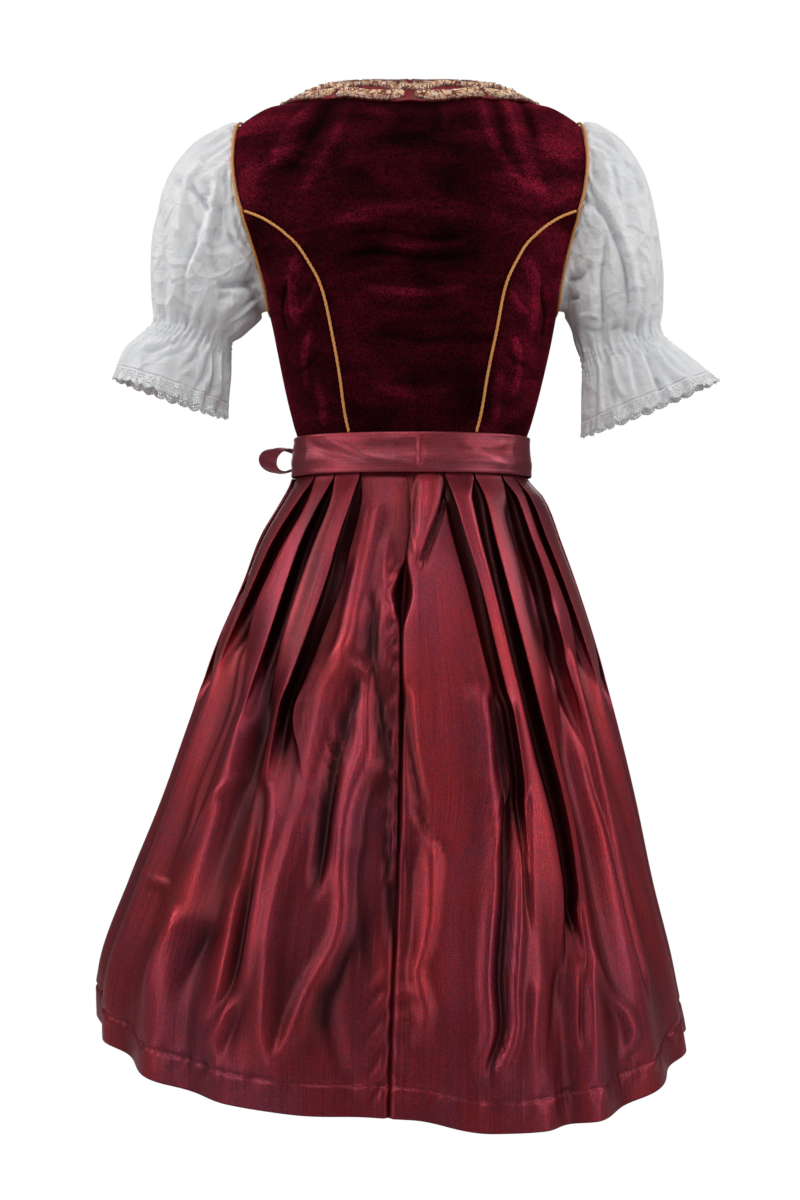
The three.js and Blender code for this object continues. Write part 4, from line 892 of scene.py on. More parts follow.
def make_front(velvet, side, flip):
    foot = np.array([CHART * math.pi, WAIST_RISE])
    middle = chain(np.stack([foot, neck_front.points[0]]), neck_front)
    side_seam = np.array([(CHART * math.pi / 2, WAIST_RISE), underarm])
    side_line = chain(side_seam, armhole_front)
    u, v = np.linspace(0, 1, PANEL_COLUMNS), np.linspace(0, 1, PANEL_ROWS)
    p = mix(side_line.at(v)[:, None], middle.at(v)[:, None], u[None, :, None])
    p[..., 1] = np.minimum(p[..., 1], SHOULDER_ARC - SEAM_GAP)
    p[..., 0] += mix(SEAM_GAP / 2, -SEAM_GAP / 2, u)[None]
    off = line_height(p, BUST_FOLDS) + seam_round(u, 0.9, 0.05)[None]
    velvet_panel(velvet, side, flip, "front", p, off)


# ---------- Piping ----------
PIPING_LIFT, PIPING_SUNK = 0.9, 0.7
PIPING_FROM, PIPING_TO = 0.082, 0.988
PIPING_POINTS, ARMHOLE_POINTS = 90, 160


def armhole_loop(count):
    """The armhole as one closed line of chart points, from the shoulder down the back and up the front."""
    down = chain(armhole_back.points[::-1], armhole_side)
    back_count = round(count * 0.48)
    back = down.at(np.arange(back_count) / back_count)
    front = armhole_front.at(np.arange(count - back_count) / (count - back_count))
    return np.concatenate([back, front])


def make_pipings(cord):
    radius = chosen("cord_radius")
    share = np.linspace(PIPING_FROM, PIPING_TO, PIPING_POINTS)
    seam = princess.at(share)
    hole = armhole_loop(ARMHOLE_POINTS)
    for side, flip in SIDES:
        turned = np.array([flip, 1.0, 1.0])
        for kind, line, closed in (("back", seam, False), ("armhole", hole, True)):
            points = on_chart(line, np.full(len(line), radius + PIPING_LIFT - PIPING_SUNK)) * turned
            up = form_normal(line[:, 0] / CHART, line[:, 1]) * turned
            piece = rope(f"cord_{kind}_{side}", points, up, radius, cord, closed)
            dress(piece, f"piping_{kind}_{side}")


# ---------- Neck trim ----------
TRIM_WIDTH, TRIM_INSET, TRIM_REPEATS = 27, 11.5, 5
TRIM_COLUMNS_BEHIND, TRIM_COLUMNS_FRONT, TRIM_ROWS = 52, 30, 40
MOUTH_HEIGHT, TRIM_EDGE = 1.6, 2.8
# Near the shoulder the trim's end is squared to the seam: from how far off, and over what length.
SQUARED_FROM, SQUARED_RUN = 14, 13.8


def mouth_open(along):
    """How far a mouth between the lips is open: 1 in the middle of a flap, 0 towards its ends."""
    return np.sqrt(np.clip(1 - ((along % 1 - 0.5) / 0.33) ** 2, 0, 1))


def lip_lines(along):
    """Across places (-1 at the neck edge, 1 below) where the upper lip ends and the lower one starts."""
    opened_by = mouth_open(along)
    return 0.2 - 0.4 * opened_by, 0.26 + 0.06 * opened_by


def trim_height(along, across):
    """Height of the trim off the cloth, and that of its upper and lower lips alone."""
    lip = chosen("lip_height")
    upper, lower = lip_lines(along)
    to_gap = np.minimum(along % 1, 1 - along % 1)
    rolled = bell(across - upper + 0.12, 0.13)
    high = mix(TRIM_EDGE, lip, smooth((across + 1.0) / (upper + 1.0))) + 0.9 * rolled
    slit = 1 - 0.85 * bell(to_gap, 0.022) * smooth((-0.2 - across) / 0.15)
    top_lip = high * smooth((upper - across) / 0.08) * slit
    rolled = bell(across - lower - 0.14, 0.14)
    low = mix(lip - 1, TRIM_EDGE + 0.8, smooth((across - lower) / (1.0 - lower))) + 0.8 * rolled
    notch = 1 - bell(to_gap, 0.036, 4) * smooth((across - 0.16) / 0.1)
    corner = 1.02 - 0.36 * (1 - np.clip(to_gap / 0.16, 0, 1)) ** 2
    low_lip = low * smooth((across - lower) / 0.08) * notch * smooth((corner - across) / 0.06)
    from_pleat = np.abs((4 * along + 0.25 * across) % 1 - 0.5)
    crimp = 0.5 * np.sin(math.tau * (5 * along + 0.6 * across)) - 1.9 * bell(from_pleat, 0.09)
    mouth = MOUTH_HEIGHT + 0.5 * np.cos(math.tau * 3 * along) * bell(across, 0.3)
    return np.maximum(np.maximum(top_lip + crimp * (top_lip > 3), low_lip), mouth), top_lip, low_lip


def trim_chart(line, side, share, across):
    """Chart points of the trim at shares along its line and across places."""
    ahead = line.at(np.minimum(share + 0.004, 1)) - line.at(np.maximum(share - 0.004, 0))
    sideways = unit(np.stack([-ahead[..., 1], ahead[..., 0]], -1))
    p = line.at(share) + sideways * (side * (TRIM_INSET + across * TRIM_WIDTH / 2))[..., None]
    p[..., 0] = np.minimum(p[..., 0], CHART * math.pi - SEAM_GAP / 2)
    at_shoulder = smooth((line.at(share)[..., 1] - SHOULDER_ARC + SQUARED_FROM) / SQUARED_RUN)
    seam = SHOULDER_ARC - SEAM_GAP / 2
    p[..., 1] = mix(np.minimum(p[..., 1], seam), seam, at_shoulder)
    return p


def make_neck_trim(name, node, line, side, flip, fine, finishes):
    """One run of the pleated trim. fine is the number of columns in each repeat."""
    gold, red, bead = finishes
    share = np.linspace(0, 1, fine * TRIM_REPEATS + 1)
    across = np.linspace(-1, 1, TRIM_ROWS)
    s, w = np.meshgrid(share, across, indexing="ij")
    p = trim_chart(line, side, s, w)
    height, top_lip, low_lip = trim_height(s * TRIM_REPEATS + 0.5, w)
    turned = np.array([flip, 1.0, 1.0])
    outer = skin_signed(p, PIPING_LIFT + height) * turned
    inner = skin_signed(p, PIPING_LIFT + np.zeros_like(height)) * turned
    inside = np.maximum(top_lip, low_lip)[:-1, :-1] < MOUTH_HEIGHT + 0.6
    # Painted shade in the mouths and low places of the trim, and a painted highlight on the lips' tops.
    shade = np.clip((chosen("lip_height") - 2 - height) / 2.6, -0.5, 1)
    piece = shell(name, outer, inner, [gold, red], face_pick=inside.astype(int), hollow=shade)
    dress(piece, node)
    make_beads(name + "_beads", line, side, turned, bead)


# Beads along each row in one repeat of the trim.
BEADS_IN_REPEAT = 12


def make_beads(name, line, side, turned, bead):
    """Small beads along the lips and edges of the trim."""
    spots = []
    for k in range(TRIM_REPEATS * BEADS_IN_REPEAT):
        along = (k + 0.5) / BEADS_IN_REPEAT
        upper, lower = (float(v) for v in lip_lines(np.array(along + 0.5)))
        spots.append((along, upper - 0.07 + rng.uniform(-0.03, 0.03), 0.85))
        spots.append((along + 0.03, -0.9 + rng.uniform(-0.04, 0.04), 0.75))
        if k % 3:
            spots.append((along + 0.02, 0.88 + rng.uniform(-0.05, 0.03), 0.75))
        if k % 4 == 1:
            spots.append((along, -0.5 + rng.uniform(-0.15, 0.1), 0.7))
            spots.append((along, lower + 0.18 + rng.uniform(-0.06, 0.06), 0.7))
    spots = np.array([s for s in spots if 0.01 < s[0] / TRIM_REPEATS < 0.99])
    p = trim_chart(line, side, spots[:, 0] / TRIM_REPEATS, spots[:, 1])
    height = trim_height(spots[:, 0] + 0.5, spots[:, 1])[0]
    centre = skin_signed(p, PIPING_LIFT + height + 0.25) * turned
    size = spots[:, 2] * rng.uniform(0.8, 1.2, len(spots))
    axes = np.eye(3)[None] * size[:, None, None]
    points, faces = ball_shape(4, 6)
    piece = scattered(name, centre, axes, points, faces, bead)
    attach(piece, "root")


# ---------- Skirt ----------
def compass(angle):
    return np.where(angle > 180, angle - 360, angle)


def outline_point(angle, z, off):
    turn = np.radians(angle)
    wide = np.where(np.sin(turn) > 0, read(SKIRT, 1, z), read(SKIRT, 2, z))
    deep = np.where(np.cos(turn) > 0, read(SKIRT, 3, z), read(SKIRT, 4, z))
    x = wide * np.sin(turn)
    flatness = FLATNESS * mix(1, 0.5, np.clip((WAIST_Z - z) / 400, 0, 1))
    y = deep * np.cos(turn) * (1 + flatness * np.sin(turn) ** 2)
    normal = unit(np.stack([np.sin(turn) / wide, np.cos(turn) / deep], -1))
    return np.stack([x + normal[..., 0] * off, y + normal[..., 1] * off, z + 0 * x], -1)


def skirt_z(angle, down):
    return mix(WAIST_Z - SEAM_GAP, read(HEM, 1, compass(angle)), down)


# Section of the cloth from one folded edge to the next one's underside. share: of the columns;
# place = even + wedge * (recess width) + under * (undercut), all as shares of the way between the edges;
# tall and seam_tall: heights of a pleat's face and of the flat panel beside the seam.
SECTION = [
    (0, 0, 0, 0, 1, 0.05),
    (0.08, 0.05, 0, 0, 0.99, 0.1),
    (0.25, 0.3, 0, 0, 0.92, 0.2),
    (0.45, 1, -1.5, 0, 0.84, 0.28),
    (0.55, 1, -1.1, 0, 0.62, 0.2),
    (0.63, 1, -0.95, 0, 0.08, -0.08),
    (0.72, 1, -0.6, 0, -0.25, -0.3),
    (0.82, 1, 0, 0.7, -0.22, -0.26),
    (0.91, 1, 0, 1, 0.4, 0.4),
    (1, 1, 0, 0, 1, 1),
]
# The eye behind the garment, where the camera stands and from which the folds' lines are given, and the
# usual lift of the folds off the form.
EYE = (10.6, 1900, -520)
FOLDS_LIFT = 8
BOX_SECTION = [(0, 1), (0.08, 0.92), (0.3, 0.66), (0.7, 0.66), (0.92, 0.92), (1, 1)]
WIDEST_RECESS = 0.36
COLUMNS_SEEN, COLUMNS_HIDDEN = 38, 16
SKIRT_ROWS, HEM_ROWS, HEM_FROM = 114, 28, 0.93


def fold_lines():
    """The folded edges once round, the back seam first and last: angles, height, recess, foot."""
    seam = (BACK_SEAM, 0, 0, 0.5)
    last = (tuple(a + 360 for a in BACK_SEAM), 0, 0, 0.5)
    return [seam, *PLEATS, last]


def skirt_columns():
    """Every fine column of cloth: number of its pleat and share of the way across it."""
    lines = fold_lines()
    columns = []
    for i, (line, following) in enumerate(zip(lines[:-1], lines[1:])):
        hidden = line[0][0] > APRON_FROM and following[0][0] < APRON_TO
        count = COLUMNS_HIDDEN if hidden else COLUMNS_SEEN
        columns += [(i, share) for share in np.arange(count) / count]
    return np.array(columns)


def skirt_surface(columns, down):
    """Points of the skirt's outside: one row for each share down, one column for each given column."""
    lines = fold_lines()
    angle_table = np.column_stack([PLEAT_SHARES, np.array([line[0] for line in lines]).T])
    tall, recess, foot = (np.array([line[k] for line in lines], float) for k in (1, 2, 3))
    waist = np.array([line[0][0] for line in lines])
    i, share = columns[:, 0].astype(int), columns[:, 1]
    beside_seam = (i == 0) | (i == len(lines) - 2)
    mirrored = waist[i] >= FRONT_CENTRE
    boxed = (waist[i] < FRONT_CENTRE) & (waist[i + 1] >= FRONT_CENTRE)
    key = np.where(mirrored, 1 - share, share)
    even, wedge, under = (read(SECTION, k, key) for k in (1, 2, 3))
    high = np.where(beside_seam, read(SECTION, 5, key), read(SECTION, 4, key))
    high = np.where(boxed, read(BOX_SECTION, 1, share), high)
    facing = np.where(mirrored, i, i + 1)
    height, undercut = (read(PLEAT_LIFE, k, down)[:, None] for k in (1, 2))
    sharp = smooth((foot[facing][None] + PLEAT_OPENS - down[:, None]) / (2 * PLEAT_OPENS))
    angles = np.stack([read(angle_table, k + 1, down) for k in range(len(lines))], 1)
    start, end = angles[:, i], angles[:, i + 1]
    z = skirt_z(mix(start, end, share[None]), down[:, None])
    span = np.radians(end - start) * read(SKIRT, 1, z)
    width = np.clip(recess[facing][None] * undercut / span, 0.04, WIDEST_RECESS)
    place = even + wedge * width + under * PLEAT_UNDERCUT * undercut / span
    place = np.where(mirrored, 1 - place, place)
    place = np.where(boxed, share[None], place)
    size = mix(tall[i], tall[i + 1], share)[None]
    size = np.where(beside_seam, tall[facing][None], size)
    soft = np.where(beside_seam, 0.5 - 0.5 * np.cos(math.pi * key), 0.5 + 0.5 * np.cos(math.tau * share))
    lift = size * height * mix(soft[None], high[None], sharp)
    angle = mix(start, end, mix(share[None], place, sharp))
    seam = read(angle_table, 1, down)[:, None]
    lift = lift + skirt_tracks(SKIRT_FOLDS, angle, z) + hem_ripple(angle, z) + back_opening(angle, z, seam)
    return outline_point(angle, z, lift), angle, z, lift


# Recesses of the skirt: how far round the folds are looked for, the depth of a full recess, and the bins
# round the skirt in which their tops are found.
HOLLOW_REACH, HOLLOW_DEEP, HOLLOW_BINS = 13, 9, 720
# Painted shade on the pleats' faces near the waist: by how much, from what height and over what length.
TOP_SHADE, TOP_SHADE_FROM, TOP_SHADE_RUN = 0.16, -500, 60


def skirt_hollows(angle, z, lift):
    """How deep each place lies between the folds around it, for painted shade: 0 level with them, 1 in a
    recess.
    """
    result = np.empty_like(lift)
    bins = np.arange(HOLLOW_BINS)
    cycles = np.minimum(bins, HOLLOW_BINS - bins) / HOLLOW_BINS
    for row in range(len(lift)):
        key = (angle[row] % 360) * HOLLOW_BINS / 360
        top = np.full(HOLLOW_BINS, -1e9)
        np.maximum.at(top, key.astype(int) % HOLLOW_BINS, lift[row])
        known = np.where(top > -1e8)[0]
        top = np.interp(bins, known, top[known], period=HOLLOW_BINS)
        spread = HOLLOW_REACH * HOLLOW_BINS / (math.tau * float(read(SKIRT, 1, z[row]).mean()))
        blur = np.exp(-0.5 * (math.tau * cycles * spread) ** 2)
        around = np.fft.ifft(np.fft.fft(top) * blur).real
        result[row] = np.interp(key, bins, around, period=HOLLOW_BINS) - lift[row]
    return np.clip(result / HOLLOW_DEEP, -0.5, 1)


def skirt_place(across, height):
    """Angle and height of the skirt's cloth where it shows at a place seen from behind."""
    near = 0.95
    for _ in range(12):
        x = EYE[0] + (across - EYE[0]) * near
        z = EYE[2] + (height - EYE[2]) * near
        wide = read(SKIRT, 1 if x > 0 else 2, z) + FOLDS_LIFT
        turn = np.clip(x / wide, -0.99, 0.99)
        depth = read(SKIRT, 3, z) * np.sqrt(1 - turn * turn)
        near = (near + 1 - depth / EYE[1]) / 2
    return float(np.degrees(np.arcsin(turn))), float(z)


# Painted shade on the satin, and with a minus a painted highlight: line as for the folds, share, width each
# side.
SKIRT_PAINTED_SHADE = [
    ([(55, -543), (17, -658), (11, -797), (55, -886), (105, -974)], 0.38, 22, 22),
    ([(162, -721), (200, -820), (232, -898)], 0.3, 14, 14),
    ([(124, -543), (149, -696)], 0.3, 9, 9),
    ([(150, -880), (130, -985)], 0.22, 34, 34),
    ([(130, -600), (150, -760), (165, -960)], 0.14, 55, 55),
    ([(90, -410), (100, -490), (114, -590)], 0.95, 14, 14),
    ([(-93, -410), (-111, -500), (-130, -590)], 0.95, 14, 14),
    ([(150, -440), (172, -560)], 0.5, 12, 12),
    ([(-34, -470), (-39, -711), (-47, -960)], -0.34, 24, 20),
    ([(-157, -530), (-176, -760)], -0.5, 13, 11),
    ([(-205, -640), (-245, -930)], -0.15, 30, 30),
    ([(-95, -800), (-100, -960)], 0.2, 12, 12),
]


def skirt_tracks(tracks, angle, z):
    total = np.zeros(np.broadcast(angle, z).shape)
    side = compass(angle)
    reach = read(SKIRT, 1, z)
    for seen, height, before, after in tracks:
        points = [skirt_place(across, high) for across, high in seen]
        line = read([(high, at) for at, high in points], 1, z)
        apart = np.radians(side - line) * reach
        facing = np.cos(np.radians(line))
        wide = np.where(apart < 0, before, after) / np.maximum(facing, 0.7)
        fade = smooth((z - points[-1][1] + 24) / 48) * smooth((points[0][1] + 13 - z) / 26)
        total += height * (0.55 + 0.45 * facing) * bell(apart, wide) * fade
    return total


# Stitches: the distance from one to the next, their length and their width.
HEM_STITCH = (3.6, 2.5, 0.5)
APRON_STITCH = (3.4, 2.4, 0.45)


def hem_ripple(angle, z):
    """The turned-up hem: a thicker band, a dip along its stitches and the small puckers at them."""
    turned_up = chosen("hem_band")
    above = z - read(HEM, 1, compass(angle))
    turn = np.radians(angle)
    band = 0.7 * smooth((turned_up - above) / 3)
    dip = -1.3 * bell(above - turned_up - 1.5, 1.9)
    pucker = np.sin(turn * 150 + 3 * np.sin(turn * 23)) + 0.8 * np.sin(turn * 83 + 2 * np.sin(turn * 11) + 1)
    lean_over = np.sin(turn * 61 + above / 7 + 2 * np.sin(turn * 9))
    near = bell(above - turned_up, 10)
    wave = 1.3 * np.sin(turn * 19 + 2.3 * np.sin(turn * 5)) * bell(above, 26)
    return band + dip + (0.45 * pucker + 0.7 * lean_over) * near + wave


# The back opening: heights of its slit, and of the flap of cloth beside it.
SLIT_TOP, SLIT_FOOT, SLIT_GAPE = -476, -552, 7
FLAP_TOP, FLAP_FOOT = -396, -482
# height: how far right of the middle the flap starts and ends, in degrees
FLAP = [(-394, -1, -15), (-425, 0.6, -12), (-450, 0.4, -8), (-470, 0, -5), (-484, -0.8, -3.4)]


def back_opening(angle, z, seam):
    """The seam's groove, the proud panel right of it, the flap above and the puckers beside."""
    side = compass(angle)
    reach = read(SKIRT, 2, z)
    apart = np.radians(side - seam) * reach
    right, left = np.maximum(-apart, 0), np.maximum(apart, 0)
    groove = -4 * bell(apart, 1.8) * window(z, -1010, -500, 20)
    spindle = gape(z) / (SLIT_GAPE / 2)
    slit = -15 * spindle * bell(apart, 1.2 + 6.5 * spindle, 4)
    proud = 4 * smooth(right / 3) * bell(right, 22) * window(z, -790, -500, 60)
    inner, outer = read(FLAP, 1, z), read(FLAP, 2, z)
    from_edge = np.radians(inner - side) * reach
    from_end = np.radians(side - outer) * reach
    tip = 1 - smooth((FLAP_FOOT + 10 - z) / 12)
    flap = smooth(from_edge / 2) * smooth(from_end / 2.5) * tip * window(z, -600, FLAP_TOP, 7)
    swell = np.sin(math.pi * np.clip(from_edge / (from_edge + from_end + 1e-6), 0, 1))
    under_end = -6 * bell(from_end + 2.5, 2.6) * window(z, FLAP_FOOT, -415, 8)
    pocket = -5 * bell(from_edge - 5, 2.6) * window(z, -452, -408, 12)
    crinkle = np.sin(z / 2.1 + 2.2 * np.sin(z / 17) + 1.5 * np.sin(z / 41))
    beside = bell(left - 6, 6) * smooth(left / 2) * window(z, -780, -548, 40)
    slanting = np.sin(z / 4.3 + left / 3 + 1.3 * np.sin(z / 23))
    low = bell(np.abs(apart) - 10, 9) * window(z, -965, -880, 25)
    puckers = (0.9 * crinkle + 1.3 * slanting) * beside + 1.8 * slanting * low
    frayed = 3.2 * bell(left - 9, 4) * np.sin(z / 5 + 1) * window(z, -545, -488, 12)
    frayed = frayed * smooth(left / 2)
    folded = (4 + 5 * swell) * flap + pocket * (flap > 0.05) + under_end
    return groove + slit + proud + folded + puckers + frayed


def gape(z):
    """Half width of the slit at heights z."""
    above = np.clip((z - SLIT_FOOT) / (SLIT_TOP - SLIT_FOOT), 0, 1)
    return SLIT_GAPE / 2 * np.sin(math.pi * above) ** 1.4


# Panels meet at their seams: how far they lap, and over how many columns an edge's shift fades.
CLOSED, EASED = 0.1, 10
SIDE_SEAMS = (81, 277)


def make_skirt(satin, thread):
    columns = skirt_columns()
    count = len(columns)
    down = np.concatenate([np.linspace(0, HEM_FROM, SKIRT_ROWS), np.linspace(HEM_FROM, 1, HEM_ROWS)[1:]])
    outside, angle, z, lift = skirt_surface(columns, down)
    # hollow: painted shade in the recesses between the pleats, along the listed tracks and near the waist,
    # and painted highlight on the folds' tops.
    hollow = skirt_hollows(angle, z, lift) + skirt_tracks(SKIRT_PAINTED_SHADE, angle, z)
    hollow += TOP_SHADE * smooth((z - TOP_SHADE_FROM) / TOP_SHADE_RUN)
    hollow = np.clip(hollow, -0.5, 1)
    inside = thickened(outside, SKIRT_WALL, ring=True)
    if np.linalg.norm(inside[0, :, :2], axis=-1).mean() > np.linalg.norm(outside[0, :, :2], axis=-1).mean():
        inside = 2 * outside - inside
    lines = fold_lines()

    def column_near(waist):
        following = next(k for k in range(len(lines)) if lines[k][0][0] > waist)
        found = np.where((columns[:, 0] == following - 1) & (columns[:, 1] >= 0.3))[0][0]
        return int(found)

    side_left, side_right = column_near(SIDE_SEAMS[0]), column_near(SIDE_SEAMS[1])
    pieces = [
        ("satin_back_left", "skirt_back_left", 0, side_left, 1),
        ("satin_front", "skirt_front", side_left, side_right, 2),
        ("satin_back_right", "skirt_back_right", side_right, count, 1),
    ]
    for name, node, first, last, every in pieces:
        pick = np.ix_(np.arange(0, len(down), every), np.arange(first, last + 1) % count)
        outer, inner = outside[pick].copy(), inside[pick].copy()
        for at, to, open_edge in ((0, 1, first == 0), (-1, -2, last == count)):
            way = outer[:, to] - outer[:, at]
            way[:, 2] = 0
            apart = gape(outer[:, at, 2]) - CLOSED if open_edge else np.full(len(outer), -CLOSED)
            shift = unit(way) * apart[:, None]
            near = 1 if at == 0 else -1
            for step in range(EASED):
                ease = 1 - step / EASED
                outer[:, at + near * step] += shift * ease
                inner[:, at + near * step] += shift * ease
        piece = shell(name, outer, inner, [satin], hollow=hollow[pick])
        dress(piece, node)
        declare_cloth(outer)
    hem_stitches(columns, thread)


def hem_stitches(columns, thread):
    """The line of stitches that holds the hem, all round."""
    fine_down = np.linspace(0.94, 1, 30)
    outside, angle, z, _ = skirt_surface(columns, fine_down)
    above = z - read(HEM, 1, compass(angle))
    row = np.abs(above - chosen("hem_band")).argmin(0)
    points = outside[row, np.arange(len(columns))]
    normal = grid_normal(outside, True)[row, np.arange(len(columns))]
    outward = np.sign((normal[:, :2] * points[:, :2]).sum(1, keepdims=True))
    piece = stitches("hem_stitches", points, normal * outward, HEM_STITCH, thread)
    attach(piece, "root")


# ---------- Apron, band and bow ----------
def band_off(z):
    return read(BAND, 1, z)


# Soft creases of the band: line as (angle, height), height, width.
BAND_CREASES = [
    ([(-3.9, -346), (-3.5, -362), (-4.2, -389)], -2.2, 1.5),
    ([(-1.5, -349), (-1.2, -368), (-2.0, -388)], 0.9, 3),
    ([(8, -350), (9, -370), (8, -388)], 0.8, 6),
    ([(48, -351), (36, -362), (20, -366)], 1.4, 4),
    ([(40, -360), (15, -379), (-12, -386)], 1.5, 4),
    ([(60, -356), (40, -371), (20, -378)], -1.5, 4),
    ([(30, -352), (10, -356), (-12, -352)], 1.2, 4),
    ([(-14, -384), (-34, -378), (-52, -384)], 1.3, 4),
    ([(-18, -356), (-34, -364), (-56, -358)], 1.5, 5),
    ([(-30, -362), (-42, -373), (-62, -380)], -1.2, 4),
    ([(-62, -352), (-55, -366), (-58, -388)], 1.2, 6),
    ([(66, -350), (60, -368), (64, -388)], 1.2, 6),
    ([(82, -357), (98, -368), (118, -374)], 1.4, 5),
    ([(88, -377), (104, -384), (120, -378)], -1.2, 4),
    ([(150, -356), (175, -371), (205, -380)], 1.3, 6),
    ([(232, -360), (250, -371), (275, -379)], -1.2, 6),
]


BAND_COLUMNS, BAND_ROWS = 280, 26
APRON_COLUMNS, APRON_ROWS = 230, 72


def make_band(satin):
    theta = np.linspace(0, math.tau, BAND_COLUMNS, endpoint=False)
    z = np.linspace(BAND_TOP_Z, BAND_BOTTOM_Z, BAND_ROWS)
    angle = np.degrees(theta)
    flat = np.stack(np.meshgrid(compass(angle) * 2.1, z, indexing="xy"), -1)
    tracks = [
        (np.array([(compass(np.array(a)) * 2.1, h) for a, h in points], float), height, width)
        for points, height, width in BAND_CREASES
    ]
    off = line_height(flat, tracks)
    edge = np.minimum(z - BAND_BOTTOM_Z, BAND_TOP_Z - z)[:, None]
    off = off * smooth(edge / 6) + 0.35 * bell(edge - 1.6, 1.0)
    off = off - 0.5 * smooth((1.4 - edge) / 1.4)
    base = band_off(z)[:, None] + 0 * off
    rise = (z - CHEST_Z)[:, None]
    outer = skin(theta[None], rise, base + SATIN + off)
    inner = skin(theta[None], rise, base + off * 0.5)
    piece = shell("apron_waistband", outer, inner, [satin], ring=True)
    dress(piece, "apron_band")
    declare_cloth(outer, ring=True)


def opened(t):
    return np.clip(t * 1.3, 0, 1)


def apron_off(down):
    hung = FRONT_TALL * read(PLEAT_LIFE, 1, down) + APRON_CLEAR
    return SATIN + mix(band_off(BAND_BOTTOM_Z), hung, np.clip(down / APRON_SETTLED, 0, 1))


def apron_point(angle, t, extra):
    z = mix(BAND_BOTTOM_Z - SEAM_GAP, APRON_HEM_Z, t)
    down = (z - WAIST_Z) / (FRONT_HEM_Z - WAIST_Z)
    share = (angle - APRON_FROM) / (APRON_TO - APRON_FROM)
    drift = 0.35 * np.sin(math.tau * 2.3 * share + 1) + 0.2 * np.sin(math.tau * 5.1 * share)
    gather = GATHER_HEIGHT * (0.5 - 0.5 * np.cos(math.tau * (APRON_GATHERS * share + drift)))
    fine = 0.5 * np.sin(math.tau * 61 * share) * smooth((0.1 - t) / 0.1)
    wave = WAVE_HEIGHT * (0.5 - 0.5 * np.cos(math.tau * APRON_WAVES * share + 0.6))
    wave = wave * (0.8 + 0.25 * np.sin(5 * share + 3 * t))
    edge = np.minimum(share, 1 - share) * 640
    hem = 0.4 * smooth((t - 0.955) / 0.005) - 0.5 * bell(t - APRON_HEM_SHARE, 0.004)
    side = -0.4 * bell(edge - 9, 2)
    off = apron_off(down) + mix(gather, wave, opened(t)) + fine + hem + side + extra
    return outline_point(angle, z + 0 * angle, off)


def make_apron(satin, thread):
    angle = np.linspace(APRON_FROM, APRON_TO, APRON_COLUMNS)[None]
    t = np.linspace(0, 1, APRON_ROWS)[:, None]
    outer = apron_point(angle, t, 0)
    inner = apron_point(angle, t, -APRON_WALL)
    piece = shell("apron_cloth", outer, inner, [satin])
    dress(piece, "apron_panel")
    declare_cloth(outer)
    row = apron_point(angle, np.array([[APRON_HEM_SHARE]]), 0.1)[0]
    piece = stitches("apron_hem_stitches", row, outward_level(row), APRON_STITCH, thread)
    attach(piece, "root")


def outward_level(points):
    """Unit vectors from the figure's axis to points, or along directions, with no rise."""
    return unit(points * np.array([1.0, 1.0, 0.0]))


BOW_ANGLE = 128
KNOT_WIDTH, KNOT_HEIGHT, KNOT_DEPTH = 24, 30, 11
LOOPS = [("side", 1, 66, -4, 0.35), ("front", -1, 78, -14, 0.1)]
LOOP_HEIGHT, LOOP_LIFT, CRUSH_KNOT, CRUSH_FAR = 17, 6, 7, 26
# Rows along and columns across the knot, each loop and each end.
KNOT_ROWS, KNOT_SIDES, LOOP_ROWS, LOOP_COLUMNS, TAIL_ROWS, TAIL_COLUMNS = 34, 64, 120, 15, 110, 22
TAILS = [("side", -6, -14, 300), ("front", 6, 13, 340)]


def bow_place():
    theta = math.radians(BOW_ANGLE)
    centre_z = (BAND_TOP_Z + BAND_BOTTOM_Z) / 2
    rise = centre_z - CHEST_Z
    out = outward_level(form_normal(theta, rise))
    up = np.array([0.0, 0.0, 1.0])
    around = np.cross(up, out)
    seat = skin(np.array(theta), np.array(rise, float), np.array(band_off(centre_z) + SATIN + SEAM_GAP))

    def place(a, b, c):
        a, b, c = np.broadcast_arrays(*(np.asarray(k, float) for k in (a, b, c)))
        return seat + around * a[..., None] + up * b[..., None] + out * c[..., None]

    return place, around, out, centre_z


